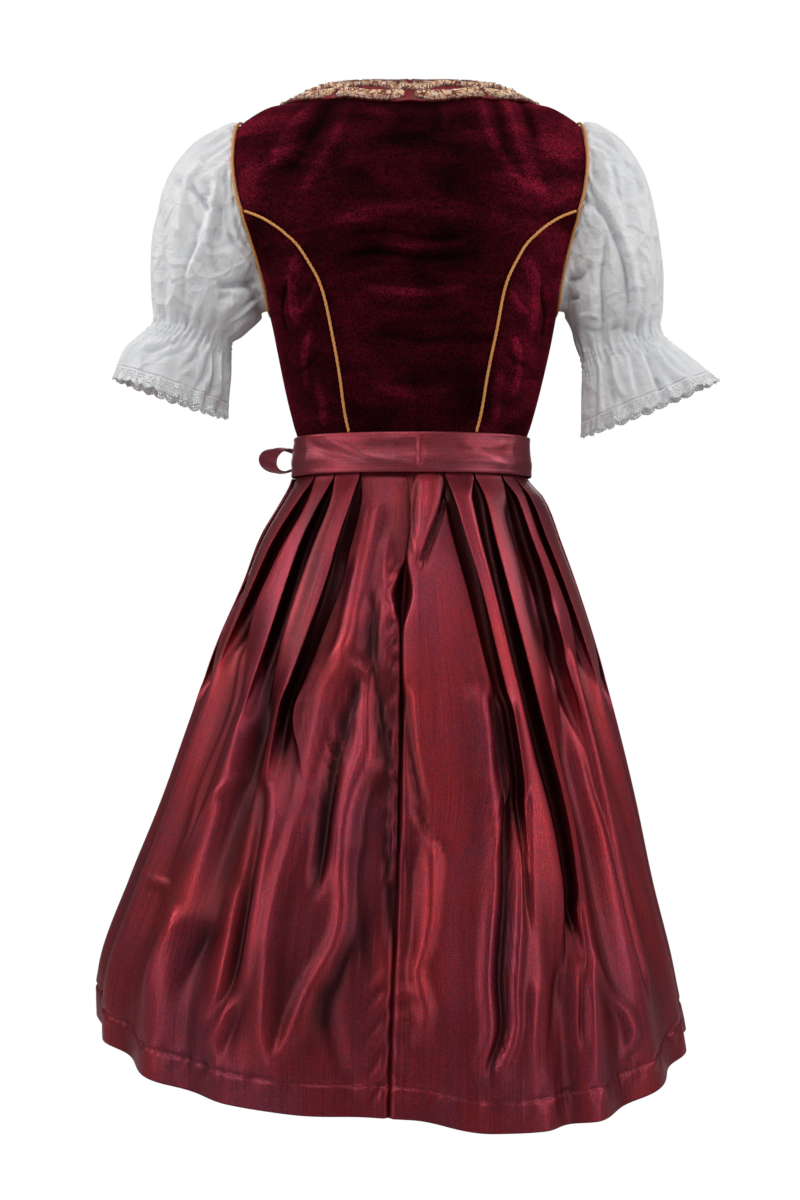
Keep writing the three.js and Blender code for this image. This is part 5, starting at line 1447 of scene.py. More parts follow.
def make_bow(satin):
    place, around, out, centre_z = bow_place()
    t = np.linspace(-1, 1, KNOT_ROWS)[:, None]
    turn = np.linspace(0, math.tau, KNOT_SIDES, endpoint=False)[None]
    swell = (1 - 0.3 * t**4) * (1 + 0.05 * np.cos(turn * 6 + 2 * t))
    pinch = np.sqrt(np.clip(1 - t**10, 0.05, 1))
    knot = place(
        KNOT_WIDTH / 2 * swell * pinch * np.cos(turn),
        KNOT_HEIGHT / 2 * t + 0 * turn,
        KNOT_DEPTH / 2 + (KNOT_DEPTH / 2 - 0.3) * swell * pinch * np.sin(turn),
    )
    piece = tube_object("bow_wrap", knot, False, satin)
    dress(piece, "bow_knot")
    start = KNOT_WIDTH / 2 + SEAM_GAP + SATIN / 2
    for name, way, reach, droop, tilt in LOOPS:
        t = np.linspace(0, 1, LOOP_ROWS)
        turn = math.pi * (2 * t - 1)
        along = 0.5 + 0.5 * np.cos(turn)
        opening = np.sin(turn) * along**0.5
        high = droop * along + LOOP_HEIGHT * opening + 3
        away = KNOT_DEPTH / 2 + LOOP_LIFT * along + np.sin(turn)
        path = place(way * mix(start, reach, along), high, away)
        slant = way * (tilt * np.sin(turn) + 0.12)
        across = unit(out[None] + around[None] * slant[:, None])
        width = mix(CRUSH_KNOT, CRUSH_FAR, along**0.6)
        w = np.linspace(-0.5, 0.5, LOOP_COLUMNS)
        ahead = unit(np.gradient(path, axis=0))
        normal = unit(np.cross(ahead, across))
        cup = 0.9 * np.cos(math.tau * w[None]) + 0.5 * np.sin(9 * t[:, None] + 5 * w[None])
        fold = 0.8 * np.sin(math.tau * 2.5 * w[None]) * (1 - along[:, None])
        bend = (cup * along[:, None] + fold)[..., None] * normal[:, None]
        grid = path[:, None] + across[:, None] * (w[None] * width[:, None])[..., None] + bend
        half = normal[:, None] * RIBBON_WALL
        piece = shell("bow_ribbon_" + name, grid + half, grid - half, [satin])
        dress(piece, "bow_loop_" + name)
        declare_cloth(grid)
    top = centre_z - KNOT_HEIGHT / 2 - 1.5
    for name, from_, to, length in TAILS:
        t = np.linspace(0, 1, TAIL_ROWS)[:, None]
        w = np.linspace(-1, 1, TAIL_COLUMNS)[None]
        z = top - t * length - 10 * w * smooth((t - 0.93) / 0.07)
        half_width = mix(9, chosen("ribbon_width") / 2, np.clip(t * 3, 0, 1))
        spread = np.degrees(w * half_width / read(SKIRT, 1, z))
        angle = BOW_ANGLE + mix(from_, to, t) + spread
        wave = 1.4 * (0.5 + 0.5 * np.sin(math.tau * (2.2 * t + 0.25 * w))) * smooth(t / 0.2)
        pleat = 1.1 * (0.5 + 0.5 * np.cos(math.tau * 1.5 * w)) * smooth((0.3 - t) / 0.3)
        lift = 1.6 + wave + pleat
        outer = over_apron(angle, z, lift + SATIN)
        inner = over_apron(angle, z, lift + RIBBON_WALL)
        piece = shell("bow_end_" + name, outer, inner, [satin])
        dress(piece, "bow_tail_" + name)
        declare_cloth(outer)


def over_apron(angle, z, off):
    on_band = skin(np.radians(angle), z - CHEST_Z, band_off(z) + SATIN + off)
    t = np.clip((BAND_BOTTOM_Z - z) / (BAND_BOTTOM_Z - APRON_HEM_Z), 0, 1)
    down = (z - WAIST_Z) / (FRONT_HEM_Z - WAIST_Z)
    hang = mix(GATHER_HEIGHT, WAVE_HEIGHT, opened(t))
    on_apron = outline_point(angle, z, apron_off(down) + hang + off)
    leave = np.clip((BAND_BOTTOM_Z + 4 - z) / 12, 0, 1)[..., None]
    return mix(on_band, on_apron, leave)


# ---------- Blouse ----------
BLOUSE_COLUMNS, BLOUSE_ROWS, BLOUSE_GATHERS = 36, 56, 11


def make_blouse(cotton):
    hem_rise = BLOUSE_HEM_Z - CHEST_Z
    seam = np.array([(CHART * math.pi / 2, hem_rise), underarm])
    front, behind = chain(seam, armhole_front), chain(seam, armhole_side.points[::-1], armhole_back)
    parts = [
        ("front", "bodice_front_left", CHART * math.pi, chart_line(BLOUSE_NECK_FRONT, True), front, 1),
        ("back", "bodice_back_centre", 0.0, chart_line(BLOUSE_NECK_BACK), behind, -1),
    ]
    for name, around_it, middle, neck, side, sideways in parts:
        top = chain(neck, np.stack([neck.points[-1], side.points[-1]]))
        foot = np.array([middle, hem_rise])
        u, v = np.linspace(0, 1, BLOUSE_COLUMNS), np.linspace(0, 1, BLOUSE_ROWS)
        half = crossing_chart(foot, top, side.at, u, v, sideways)
        gather = 0.8 * np.sin(math.tau * BLOUSE_GATHERS * u)[None] * smooth((v - 0.72) / 0.28)[:, None]
        gather = gather * smooth((0.93 - u) / 0.1)[None]
        offs = [BLOUSE_OFF + gather, BLOUSE_OFF - COTTON_WALL + gather]
        grids = []
        for off in offs:
            one = on_chart(half, off)
            grids.append(np.concatenate([mirror(one[:, :0:-1]), one], 1))
        piece = shell("shirt_" + name, grids[0], grids[1], [cotton])
        dress(piece, "blouse_" + name)
        declare_cloth(grids[0])


# ---------- Sleeves ----------
# Folds of the sleeves that show behind: line as (across, height) from there, top down, its height in
# millimetres and its widths to the left and right of the way it runs.
SLEEVE_FOLDS = {
    "left": [
        ([(190, -43), (192, -96), (186, -133), (170, -162)], 2.5, 4, 3),
        ([(195, -54), (194, -101), (192, -126), (184, -145), (166, -167)], -5, 3.5, 3),
        ([(188, -70), (186, -112), (176, -142), (163, -162)], -2.5, 2.5, 2.5),
        ([(253, -66), (244, -78), (236, -92)], -3.5, 3, 5),
        ([(217, -45), (226, -64), (235, -76), (241, -96), (243, -122), (243, -149)], 4.5, 8, 3.5),
        ([(236, -75), (226, -88), (215, -102), (210, -115)], -5.5, 3.5, 3),
        ([(218, -71), (214, -83), (211, -96)], -3, 6, 5),
        ([(202, -59), (206, -85), (211, -107), (214, -133), (212, -154), (204, -177)], 5, 5, 4),
        ([(213, -113), (225, -144), (234, -162), (242, -183)], 4.5, 3, 9),
        ([(222, -134), (233, -157), (243, -181)], -4, 3, 2.5),
        ([(260, -101), (261, -133), (262, -160), (262, -213)], -3, 4, 6),
        ([(243, -170), (244, -202), (242, -239)], -3.5, 4, 4),
        ([(253, -112), (252, -162), (252, -221)], 2.5, 8, 8),
        ([(269, -107), (269, -162), (268, -221)], 2, 7, 8),
        ([(228, -162), (220, -191), (216, -225)], 2.5, 9, 9),
        ([(200, -96), (202, -119), (207, -143)], -7, 5, 6),
        ([(195, -143), (184, -160), (171, -172)], 8, 12, 10),
        ([(210, -188), (189, -187), (161, -182)], -7, 4, 5),
        ([(213, -136), (209, -162), (200, -181)], -3, 3, 3),
        ([(156, -189), (175, -207), (196, -225), (206, -234)], -4, 3, 3),
        ([(156, -203), (175, -217), (195, -232)], -3.5, 3, 3),
        ([(158, -197), (177, -213), (197, -228)], 3.5, 4, 4),
        ([(162, -214), (180, -224), (191, -236)], 2.5, 4, 4),
        ([(208, -199), (182, -200)], -3, 5, 5),
        ([(180, -189), (191, -205), (210, -223)], 3, 6, 4),
        ([(233, -101), (229, -119), (219, -130)], -2, 5, 4),
        ([(257, -80), (259, -96), (257, -111)], 1.8, 5, 4),
        ([(240, -242), (265, -251), (290, -258)], -3, 3, 3),
        ([(232, -248), (257, -259), (278, -268)], -2.5, 3, 3),
        ([(224, -254), (237, -268), (250, -280)], -2.5, 3, 3),
        ([(216, -251), (220, -279), (234, -302)], -3.5, 3, 4),
        ([(210, -251), (209, -278), (215, -308)], -4, 3, 3),
        ([(201, -253), (200, -283), (196, -312)], -3.5, 3, 3),
        ([(213, -251), (215, -282), (225, -306)], 3, 3, 4),
        ([(206, -253), (204, -283), (205, -312)], 3, 3, 3),
        ([(248, -240), (273, -247), (299, -257)], 2, 4, 5),
    ],
    "right": [
        ([(-186, -60), (-202, -92), (-213, -113), (-224, -138), (-231, -168), (-234, -198), (-233, -225),
          (-240, -244)], 6, 3, 15),
        ([(-180, -60), (-197, -91), (-208, -113), (-219, -139), (-227, -170), (-229, -198), (-228, -228)],
          -5, 4, 2.5),
        ([(-177, -92), (-193, -100), (-208, -113)], -5.5, 4, 4),
        ([(-205, -117), (-206, -149), (-201, -176), (-201, -202), (-202, -228), (-211, -247)],
          -5.5, 3.5, 3),
        ([(-214, -136), (-215, -176), (-214, -202), (-217, -230)], 3, 7, 7),
        ([(-193, -109), (-181, -144), (-175, -172)], -3, 10, 12),
        ([(-192, -183), (-189, -202), (-191, -221)], 3, 6, 6),
        ([(-161, -181), (-176, -178), (-191, -162)], -5, 4, 4),
        ([(-163, -201), (-177, -199)], -4, 3, 3),
        ([(-173, -220), (-189, -218), (-202, -224)], 2.5, 3, 3),
        ([(-174, -230), (-191, -235), (-206, -234)], -2.5, 3, 3),
        ([(-205, -234), (-218, -232), (-232, -236)], -2.5, 3, 3),
        ([(-192, -39), (-198, -70), (-204, -99)], -3, 3, 4),
        ([(-201, -38), (-208, -64), (-213, -94)], 3, 4, 4),
        ([(-214, -51), (-220, -80), (-225, -104)], -3, 4, 4),
        ([(-237, -54), (-245, -75), (-249, -94)], -4, 4, 3),
        ([(-229, -66), (-231, -107), (-232, -142)], -3.5, 6, 6),
        ([(-243, -94), (-250, -138), (-254, -197)], 2.5, 8, 8),
        ([(-197, -23), (-217, -36), (-237, -60)], 2.5, 4, 4),
        ([(-202, -29), (-223, -45), (-237, -71)], -2, 3, 4),
        ([(-237, -138), (-241, -181), (-244, -221)], -2, 4, 5),
        ([(-260, -122), (-263, -162), (-264, -213)], -2, 4, 4),
        ([(-249, -240), (-260, -260), (-277, -280), (-299, -290)], 3.5, 4, 4),
        ([(-244, -251), (-254, -278), (-268, -308)], -4, 3, 4),
        ([(-260, -251), (-276, -270), (-299, -285)], -2.5, 3, 3),
        ([(-257, -280), (-265, -297), (-273, -310)], -3.5, 5, 4),
        ([(-210, -247), (-214, -282), (-226, -312)], 3.5, 3, 4),
        ([(-204, -251), (-208, -287), (-214, -321)], -4, 3, 3),
        ([(-197, -253), (-199, -292), (-202, -331)], 3, 3, 3),
        ([(-191, -257), (-192, -292), (-193, -337)], -4.5, 3, 3),
        ([(-231, -253), (-236, -282), (-244, -312)], -2.5, 4, 4),
        ([(-225, -249), (-231, -278), (-235, -312)], 2, 4, 4),
    ],
}
# The same kind of folds in front: line as (turn, share down), height and width. Turn 0 is over the
# shoulder, 0.25 behind, 0.5 under the arm.
FRONT_FOLDS = [
    ([(0.95, 0.16), (0.93, 0.36), (0.9, 0.62)], 4.5, 6),
    ([(0.91, 0.2), (0.885, 0.42), (0.86, 0.6)], -4.0, 4),
    ([(0.84, 0.14), (0.83, 0.34), (0.8, 0.7)], 4.0, 8),
    ([(0.79, 0.24), (0.77, 0.44), (0.76, 0.6)], -4.5, 5),
    ([(0.71, 0.16), (0.73, 0.36), (0.74, 0.66)], 4.0, 7),
    ([(0.66, 0.22), (0.67, 0.4), (0.7, 0.58)], -4.0, 4),
    ([(0.61, 0.3), (0.62, 0.45), (0.66, 0.62)], 3.5, 5),
]
SLEEVE_TURNS, COLUMNS_BEHIND = 230, 150
SLEEVE_ROWS = 118
CUFF_SHARE = 0.768


def sleeve_base(table):
    """Rings of the sleeve without its gathers."""
    loop = armhole_loop(SLEEVE_TURNS)
    middle = np.array(HOLE_MIDDLE, float)

    def on_hole(inset, off):
        point = on_chart(loop, np.full(len(loop), float(off)))
        return point + unit(middle - point) * inset

    rings = [on_hole(inset, off) for inset, off in SLEEVE_START]
    hole = on_hole(2.8, 4)
    turn = math.tau * np.arange(SLEEVE_TURNS) / SLEEVE_TURNS
    for out_x, out_z, in_x, in_z, depth, y, follow in table:
        top, bottom = np.array([out_x, y, out_z], float), np.array([in_x, y, in_z], float)
        centre = (top + bottom) / 2
        ellipse = centre + np.cos(turn)[:, None] * (top - centre)
        ellipse = ellipse + np.stack([0 * turn, depth * np.sin(turn), 0 * turn], -1)
        rings.append(mix(ellipse, hole + centre - middle, follow))
    return np.array(rings)


def fine_rings(rings, rows):
    """More rows on smooth lines through the rings, evenly spaced down the sleeve."""
    step = np.linalg.norm(np.diff(rings, axis=0), axis=2).mean(1)
    key = np.concatenate([[0], np.cumsum(step)])
    place = np.linspace(0, key[-1], rows)
    return smooth_curve(key, rings, place), place / key[-1]


def seen_from_behind(points, flip):
    """Where points show for the eye behind the garment: across and height on the shoulders' plane."""
    near = EYE[1] / (EYE[1] - points[..., 1])
    across = EYE[0] + (flip * points[..., 0] - EYE[0]) * near
    return np.stack([across, EYE[2] + (points[..., 2] - EYE[2]) * near], -1)


def around_sleeve(base):
    """Finer columns behind, where the sleeve is seen, than in front. Gives the grid and its turns."""
    behind = np.linspace(0, 0.5, COLUMNS_BEHIND, endpoint=False)
    front = np.linspace(0.5, 1, SLEEVE_TURNS - COLUMNS_BEHIND, endpoint=False)
    turn = np.concatenate([behind, front])
    place = turn * SLEEVE_TURNS
    low = place.astype(int)
    part = (place - low)[None, :, None]
    return base[:, low] * (1 - part) + base[:, (low + 1) % SLEEVE_TURNS] * part, turn


def sleeve_folds(side, flip, base, turn, down, normal):
    t, d = np.meshgrid(turn, down, indexing="xy")
    around = np.linalg.norm(np.diff(base, axis=1, append=base[:, :1]), axis=2).sum(1)[:, None]
    seen = smooth(normal[..., 1] / 0.3)
    tracks = [(np.array(points, float), *sizes) for points, *sizes in SLEEVE_FOLDS[side]]
    total = line_height(seen_from_behind(base, flip), tracks) * seen
    for points, height, width in FRONT_FOLDS:
        line = read([(share, at) for at, share in points], 1, d)
        apart = (t - line + 0.5) % 1 - 0.5
        shown = window(d, points[0][1], points[-1][1], 0.12)
        total += height * bell(apart * around, width) * shown
    phase = math.tau * t
    top = 0.35 + 0.65 * smooth((np.cos(phase) + 0.55) / 0.9)
    cap = np.sin(34 * phase + 1.7 * np.sin(3 * phase) + 0.9 * np.sin(7 * phase))
    total += 1.3 * cap * top * smooth((d - 0.035) / 0.03) * bell(d - 0.07, 0.1)
    wide_cap = np.sin(13 * phase + 1.3 * np.sin(2 * phase + 1))
    total += 1.3 * wide_cap * top * smooth((d - 0.04) / 0.06) * smooth((0.5 - d) / 0.4)
    elastic = bell(d - CUFF_SHARE, 0.05)
    pucker = np.sin(44 * phase + 1.5 * np.sin(5 * phase) + 0.8 * np.sin(40 * d))
    rows_of = np.cos(math.tau * (d - CUFF_SHARE) / 0.026)
    total += (1.5 * pucker + 0.7 * rows_of) * elastic
    above = smooth((d - 0.55) / 0.14) * smooth((CUFF_SHARE - d) / 0.05)
    total += 1.5 * np.sin(19 * phase + 1.4 * np.sin(4 * phase) + 2 * d) * above
    below = smooth((d - CUFF_SHARE) / 0.05) * smooth((1.25 - d) / 0.3)
    total += (2.4 - 1.4 * seen) * np.sin(15 * phase + 1.2 * np.sin(3 * phase)) * below
    return total


SLEEVE_BLUR, SLEEVE_DEEP = 7, 4.5


def sleeve_hollows(height):
    """How deep each place of a sleeve lies between the folds around it, for painted shade in its creases."""
    padded = np.pad(height, ((SLEEVE_BLUR, SLEEVE_BLUR), (0, 0)), mode="edge")
    around = sum(padded[k : k + len(height)] for k in range(2 * SLEEVE_BLUR + 1)) / (2 * SLEEVE_BLUR + 1)
    steps = range(-SLEEVE_BLUR, SLEEVE_BLUR + 1)
    around = sum(np.roll(around, k, axis=1) for k in steps) / len(steps)
    return np.clip((around - height) / SLEEVE_DEEP, -0.5, 1)


def make_sleeves(cotton, lace):
    for (side, flip), table in zip(SIDES, (SLEEVE_LEFT, SLEEVE_RIGHT)):
        base, down = fine_rings(sleeve_base(table), SLEEVE_ROWS)
        base, turn = around_sleeve(base)
        normal = grid_normal(base, True)
        centre = base.mean(1, keepdims=True)
        if ((base - centre) * normal).sum() < 0:
            normal = -normal
        height = sleeve_folds(side, flip, base, turn, down, normal)
        outer = base + normal * height[..., None]
        fine = grid_normal(outer, True)
        if (fine * normal).sum() < 0:
            fine = -fine
        inner = outer - fine * COTTON_WALL
        turned = np.array([flip, 1.0, 1.0])
        # Painted shade in the sleeve's creases and a painted highlight on its folds' tops.
        hollow = sleeve_hollows(height)
        piece = shell("puff_" + side, outer * turned, inner * turned, [cotton], ring=True, hollow=hollow)
        dress(piece, "sleeve_" + side)
        declare_cloth(outer, ring=True)
        make_lace(side, outer[-1], unit(outer[-1] - outer[-5]), fine[-1], turned, lace)


LACE_GAP, LACE_SCALLOP, LACE_SCALLOPS = 0.3, 3.2, 28
LACE_PICOTS, LACE_FLUTES, LACE_STEPS, LACE_ROWS = LACE_SCALLOPS * 5, 40, 16, 12


def make_lace(side, edge, way, out, turned, lace):
    """The lace edging: a band that runs on from the flounce, scalloped and set with picots."""
    line = Line(np.concatenate([edge, edge[:1]]))
    count = LACE_SCALLOPS * LACE_STEPS
    share = np.arange(count) / count
    start = line.at(share)

    def around(values):
        closed = np.concatenate([values, values[:1]])
        keys = line.along / line.length
        return unit(np.stack([np.interp(share, keys, closed[:, k]) for k in range(3)], -1))

    way, out = around(way), around(out)
    scallop = np.abs(np.sin(math.pi * LACE_SCALLOPS * share)) ** 0.7
    picot = np.abs(np.sin(math.pi * LACE_PICOTS * share)) ** 1.5
    length = chosen("lace_depth") + LACE_SCALLOP * scallop + 1.1 * picot
    t = np.linspace(0, 1, LACE_ROWS)[:, None]
    reach = LACE_GAP + t * (length[None] - LACE_GAP)
    flute = 0.8 * np.sin(math.tau * LACE_FLUTES * share)[None] * t
    cord = 0.35 * bell(t - 0.07, 0.05) + 0.3 * bell(t - 0.9, 0.07)
    outer = start + way[None] * reach[..., None] + out[None] * (flute + cord)[..., None]
    inner = outer - out[None] * (0.45 + cord)[..., None]
    piece = shell("lace_edging_" + side, outer * turned, inner * turned, [lace], ring=True)
    dress(piece, "lace_" + side)
    declare_cloth(outer, ring=True)


# ---------- Materials ----------
def add(tree, kind):
    return tree.nodes.new("ShaderNode" + kind)


def join(tree, output, socket):
    tree.links.new(output, socket)


def cleared_tree(owner):
    """The empty node tree of a material or world."""
    owner.use_nodes = True
    owner.node_tree.nodes.clear()
    return owner.node_tree


def new_material(name):
    material = bpy.data.materials.new(name)
    tree = cleared_tree(material)
    output = add(tree, "OutputMaterial")
    shader = add(tree, "BsdfPrincipled")
    join(tree, shader.outputs[0], output.inputs["Surface"])
    return material, tree, shader


def group_sockets(tree, inputs, outputs):
    for name, kind, value in inputs:
        socket = tree.interface.new_socket(name=name, in_out="INPUT", socket_type=kind)
        if value is not None:
            socket.default_value = value
    for name, kind in outputs:
        tree.interface.new_socket(name=name, in_out="OUTPUT", socket_type=kind)


def set_inputs(node, values):
    for name, value in values.items():
        node.inputs[name].default_value = value


def math_node(tree, operation, a, b=None, clamp=False):
    node = add(tree, "Math")
    node.operation = operation
    node.use_clamp = clamp
    for k, value in enumerate((a, b)):
        if value is None:
            continue
        if isinstance(value, (int, float)):
            node.inputs[k].default_value = value
        else:
            join(tree, value, node.inputs[k])
    return node.outputs[0]


def noise(tree, vector, scale, detail=3.0, roughness=0.55, distortion=0.0):
    node = add(tree, "TexNoise")
    set_inputs(node, {"Scale": scale, "Detail": detail, "Roughness": roughness, "Distortion": distortion})
    join(tree, vector, node.inputs["Vector"])
    return node.outputs["Fac"]


def stretched(tree, vector, scale):
    node = add(tree, "Mapping")
    node.inputs["Scale"].default_value = scale
    join(tree, vector, node.inputs["Vector"])
    return node.outputs["Vector"]


def ranged(tree, value, low, high, to_low=0.0, to_high=1.0):
    node = add(tree, "MapRange")
    set_inputs(node, {"From Min": low, "From Max": high, "To Min": to_low, "To Max": to_high})
    join(tree, value, node.inputs["Value"])
    return node.outputs["Result"]


def mixed_colour(tree, factor, a, b, blend="MIX"):
    node = add(tree, "Mix")
    node.data_type = "RGBA"
    node.blend_type = blend
    for key, value in (("Factor", factor), ("A", a), ("B", b)):
        socket = next(s for s in node.inputs if s.name == key and s.type in ("RGBA", "VALUE") and s.enabled)
        if isinstance(value, (tuple, list)):
            socket.default_value = (*value[:3], 1.0)
        elif isinstance(value, (int, float)):
            socket.default_value = value
        else:
            join(tree, value, socket)
    return next(s for s in node.outputs if s.type == "RGBA")


def new_group(name, inputs, outputs):
    tree = bpy.data.node_groups.new(name, "ShaderNodeTree")
    group_sockets(tree, inputs, outputs)
    return tree, tree.nodes.new("NodeGroupInput"), tree.nodes.new("NodeGroupOutput")


def weave_group():
    """Plain weave from the lengths along the cloth: threads over and under, as a height."""
    tree, start, end = new_group(
        "Plain weave",
        [("Threads per metre", "NodeSocketFloat", 1200.0)],
        [("Height", "NodeSocketFloat")],
    )
    place = add(tree, "TexCoord")
    split = add(tree, "SeparateXYZ")
    join(tree, place.outputs["UV"], split.inputs[0])
    waves = []
    for axis in ("X", "Y"):
        turn = math_node(tree, "MULTIPLY", split.outputs[axis], start.outputs[0])
        turn = math_node(tree, "MULTIPLY", turn, math.tau)
        waves.append(math_node(tree, "SINE", turn))
    join(tree, math_node(tree, "MULTIPLY", waves[0], waves[1]), end.inputs[0])
    return tree


def drift_group():
    """Slow changes over the cloth: large soft patches and finer ones, 0 to 1."""
    tree, start, end = new_group(
        "Cloth drift",
        [("Vector", "NodeSocketVector", None)],
        [("Patches", "NodeSocketFloat"), ("Specks", "NodeSocketFloat")],
    )
    big = noise(tree, start.outputs[0], 9.0, 3.0, 0.6)
    fine = noise(tree, start.outputs[0], 900.0, 2.0, 0.6)
    join(tree, ranged(tree, big, 0.32, 0.68), end.inputs[0])
    join(tree, ranged(tree, fine, 0.3, 0.7), end.inputs[1])
    return tree


def crease_group():
    """Fine creases that cotton keeps from wearing and washing, as a height."""
    tree, start, end = new_group(
        "Fine creases",
        [("Vector", "NodeSocketVector", None)],
        [("Height", "NodeSocketFloat")],
    )
    bent = add(tree, "TexNoise")
    set_inputs(bent, {"Scale": 22.0, "Detail": 2.0})
    join(tree, start.outputs[0], bent.inputs["Vector"])
    away = add(tree, "VectorMath")
    away.operation = "MULTIPLY_ADD"
    join(tree, bent.outputs["Color"], away.inputs[0])
    away.inputs[1].default_value = (0.03, 0.03, 0.03)
    join(tree, start.outputs[0], away.inputs[2])
    cell = add(tree, "TexVoronoi")
    cell.feature = "DISTANCE_TO_EDGE"
    cell.inputs["Scale"].default_value = 34.0
    join(tree, away.outputs[0], cell.inputs["Vector"])
    ridge = ranged(tree, cell.outputs["Distance"], 0.0, 0.22, 1.0, 0.0)
    soft = noise(tree, start.outputs[0], 55.0, 3.0, 0.6, 0.6)
    both = math_node(tree, "ADD", math_node(tree, "MULTIPLY", ridge, 0.35), soft)
    join(tree, both, end.inputs[0])
    return tree


def streaks_group():
    """Streaks of a changeant satin along its threads, 0 to 1."""
    tree, start, end = new_group(
        "Satin streaks",
        [("Vector", "NodeSocketVector", None)],
        [("Broad", "NodeSocketFloat"), ("Fine", "NodeSocketFloat"), ("Crinkle", "NodeSocketFloat")],
    )
    along = stretched(tree, start.outputs[0], (34.0, 1.3, 1.0))
    broad = noise(tree, along, 1.0, 3.0, 0.6, 0.4)
    thin = stretched(tree, start.outputs[0], (900.0, 9.0, 1.0))
    fine = noise(tree, thin, 1.0, 2.0, 0.6)
    bent = stretched(tree, start.outputs[0], (150.0, 16.0, 1.0))
    crinkle = noise(tree, bent, 1.0, 3.0, 0.5, 0.8)
    join(tree, ranged(tree, broad, 0.3, 0.7), end.inputs[0])
    join(tree, ranged(tree, fine, 0.3, 0.7), end.inputs[1])
    join(tree, crinkle, end.inputs[2])
    return tree


MAKERS = {"weave": weave_group, "drift": drift_group, "creases": crease_group, "streaks": streaks_group}
groups = {}


def use_group(tree, kind):
    """A node of one of the groups, which is made at its first use."""
    node = add(tree, "Group")
    if kind not in groups:
        groups[kind] = MAKERS[kind]()
    node.node_tree = groups[kind]
    return node


def new_cloth(name):
    """A new material with its place on the cloth and the slow changes over it."""
    material, tree, shader = new_material(name)
    place = add(tree, "TexCoord")
    drift = use_group(tree, "drift")
    join(tree, place.outputs["Object"], drift.inputs[0])
    return material, tree, shader, place, drift


def bumped(tree, shader, height, distance, strength=1.0, before=None):
    bump = add(tree, "Bump")
    set_inputs(bump, {"Strength": strength, "Distance": distance})
    join(tree, height, bump.inputs["Height"])
    if before is not None:
        join(tree, before, bump.inputs["Normal"])
    if shader is not None:
        join(tree, bump.outputs[0], shader.inputs["Normal"])
    return bump.outputs[0]


def shaded_folds(tree, colour, deep, raised=1.15):
    """The colour with painted shade deep between the cloth's folds and a painted highlight on their tops."""
    depth = add(tree, "Attribute")
    depth.attribute_name = "hollow"
    share = ranged(tree, depth.outputs["Fac"], -0.4, -0.02)
    top = mixed_colour(tree, share, (raised,) * 3, (1.0,) * 3)
    share = ranged(tree, depth.outputs["Fac"], 0.0, 0.75)
    tone = mixed_colour(tree, share, top, deep)
    return mixed_colour(tree, 1.0, colour, tone, "MULTIPLY")


# The bodice's sides get a painted sheen of the pile; the middle between them lies a little to the wearer's
# left, in metres.
SIDE_SHIFT = 0.014


def velvet_material(colours):
    material, tree, shader, place, drift = new_cloth("Velvet")
    split = add(tree, "SeparateXYZ")
    join(tree, place.outputs["Object"], split.inputs[0])
    shift = math_node(tree, "SUBTRACT", split.outputs["X"], SIDE_SHIFT)
    aside = math_node(tree, "ABSOLUTE", shift)
    slub = stretched(tree, place.outputs["Object"], (13.0, 13.0, 30.0))
    pressed = noise(tree, slub, 1.0, 4.0, 0.6, 0.5)
    pile = math_node(tree, "MULTIPLY", drift.outputs["Patches"], 0.26)
    pile = math_node(tree, "ADD", pile, ranged(tree, pressed, 0.44, 0.66, 0.0, 0.34))
    # Painted sheen: the velvet's colour lightens towards the bodice's sides.
    turned = math_node(tree, "MULTIPLY", ranged(tree, aside, 0.08, 0.16, 0.0, 1.5), pile)
    pile = math_node(tree, "ADD", math_node(tree, "MULTIPLY", pile, 0.6), turned)
    base = mixed_colour(tree, pile, tuple(colours.velvet_dark), tuple(colours.velvet))
    # Painted shade between the velvet's folds and a painted highlight on their tops.
    base = shaded_folds(tree, base, (0.25, 0.2, 0.2), 2.3)
    tufts = noise(tree, place.outputs["Object"], 520.0, 2.0, 0.6)
    grain = mixed_colour(tree, ranged(tree, tufts, 0.36, 0.66), (0.35,) * 3, (1.75,) * 3)
    join(tree, mixed_colour(tree, 1.0, base, grain, "MULTIPLY"), shader.inputs["Base Color"])
    set_inputs(shader, {"Roughness": 0.95, "Specular IOR Level": 0.03, "Sheen Weight": 0.55,
                        "Sheen Roughness": 0.3, "Sheen Tint": (*colours.velvet_sheen, 1.0)})
    first = bumped(tree, None, pressed, 0.004, 0.6)
    bumped(tree, shader, tufts, 0.0007, 0.6, first)
    return material


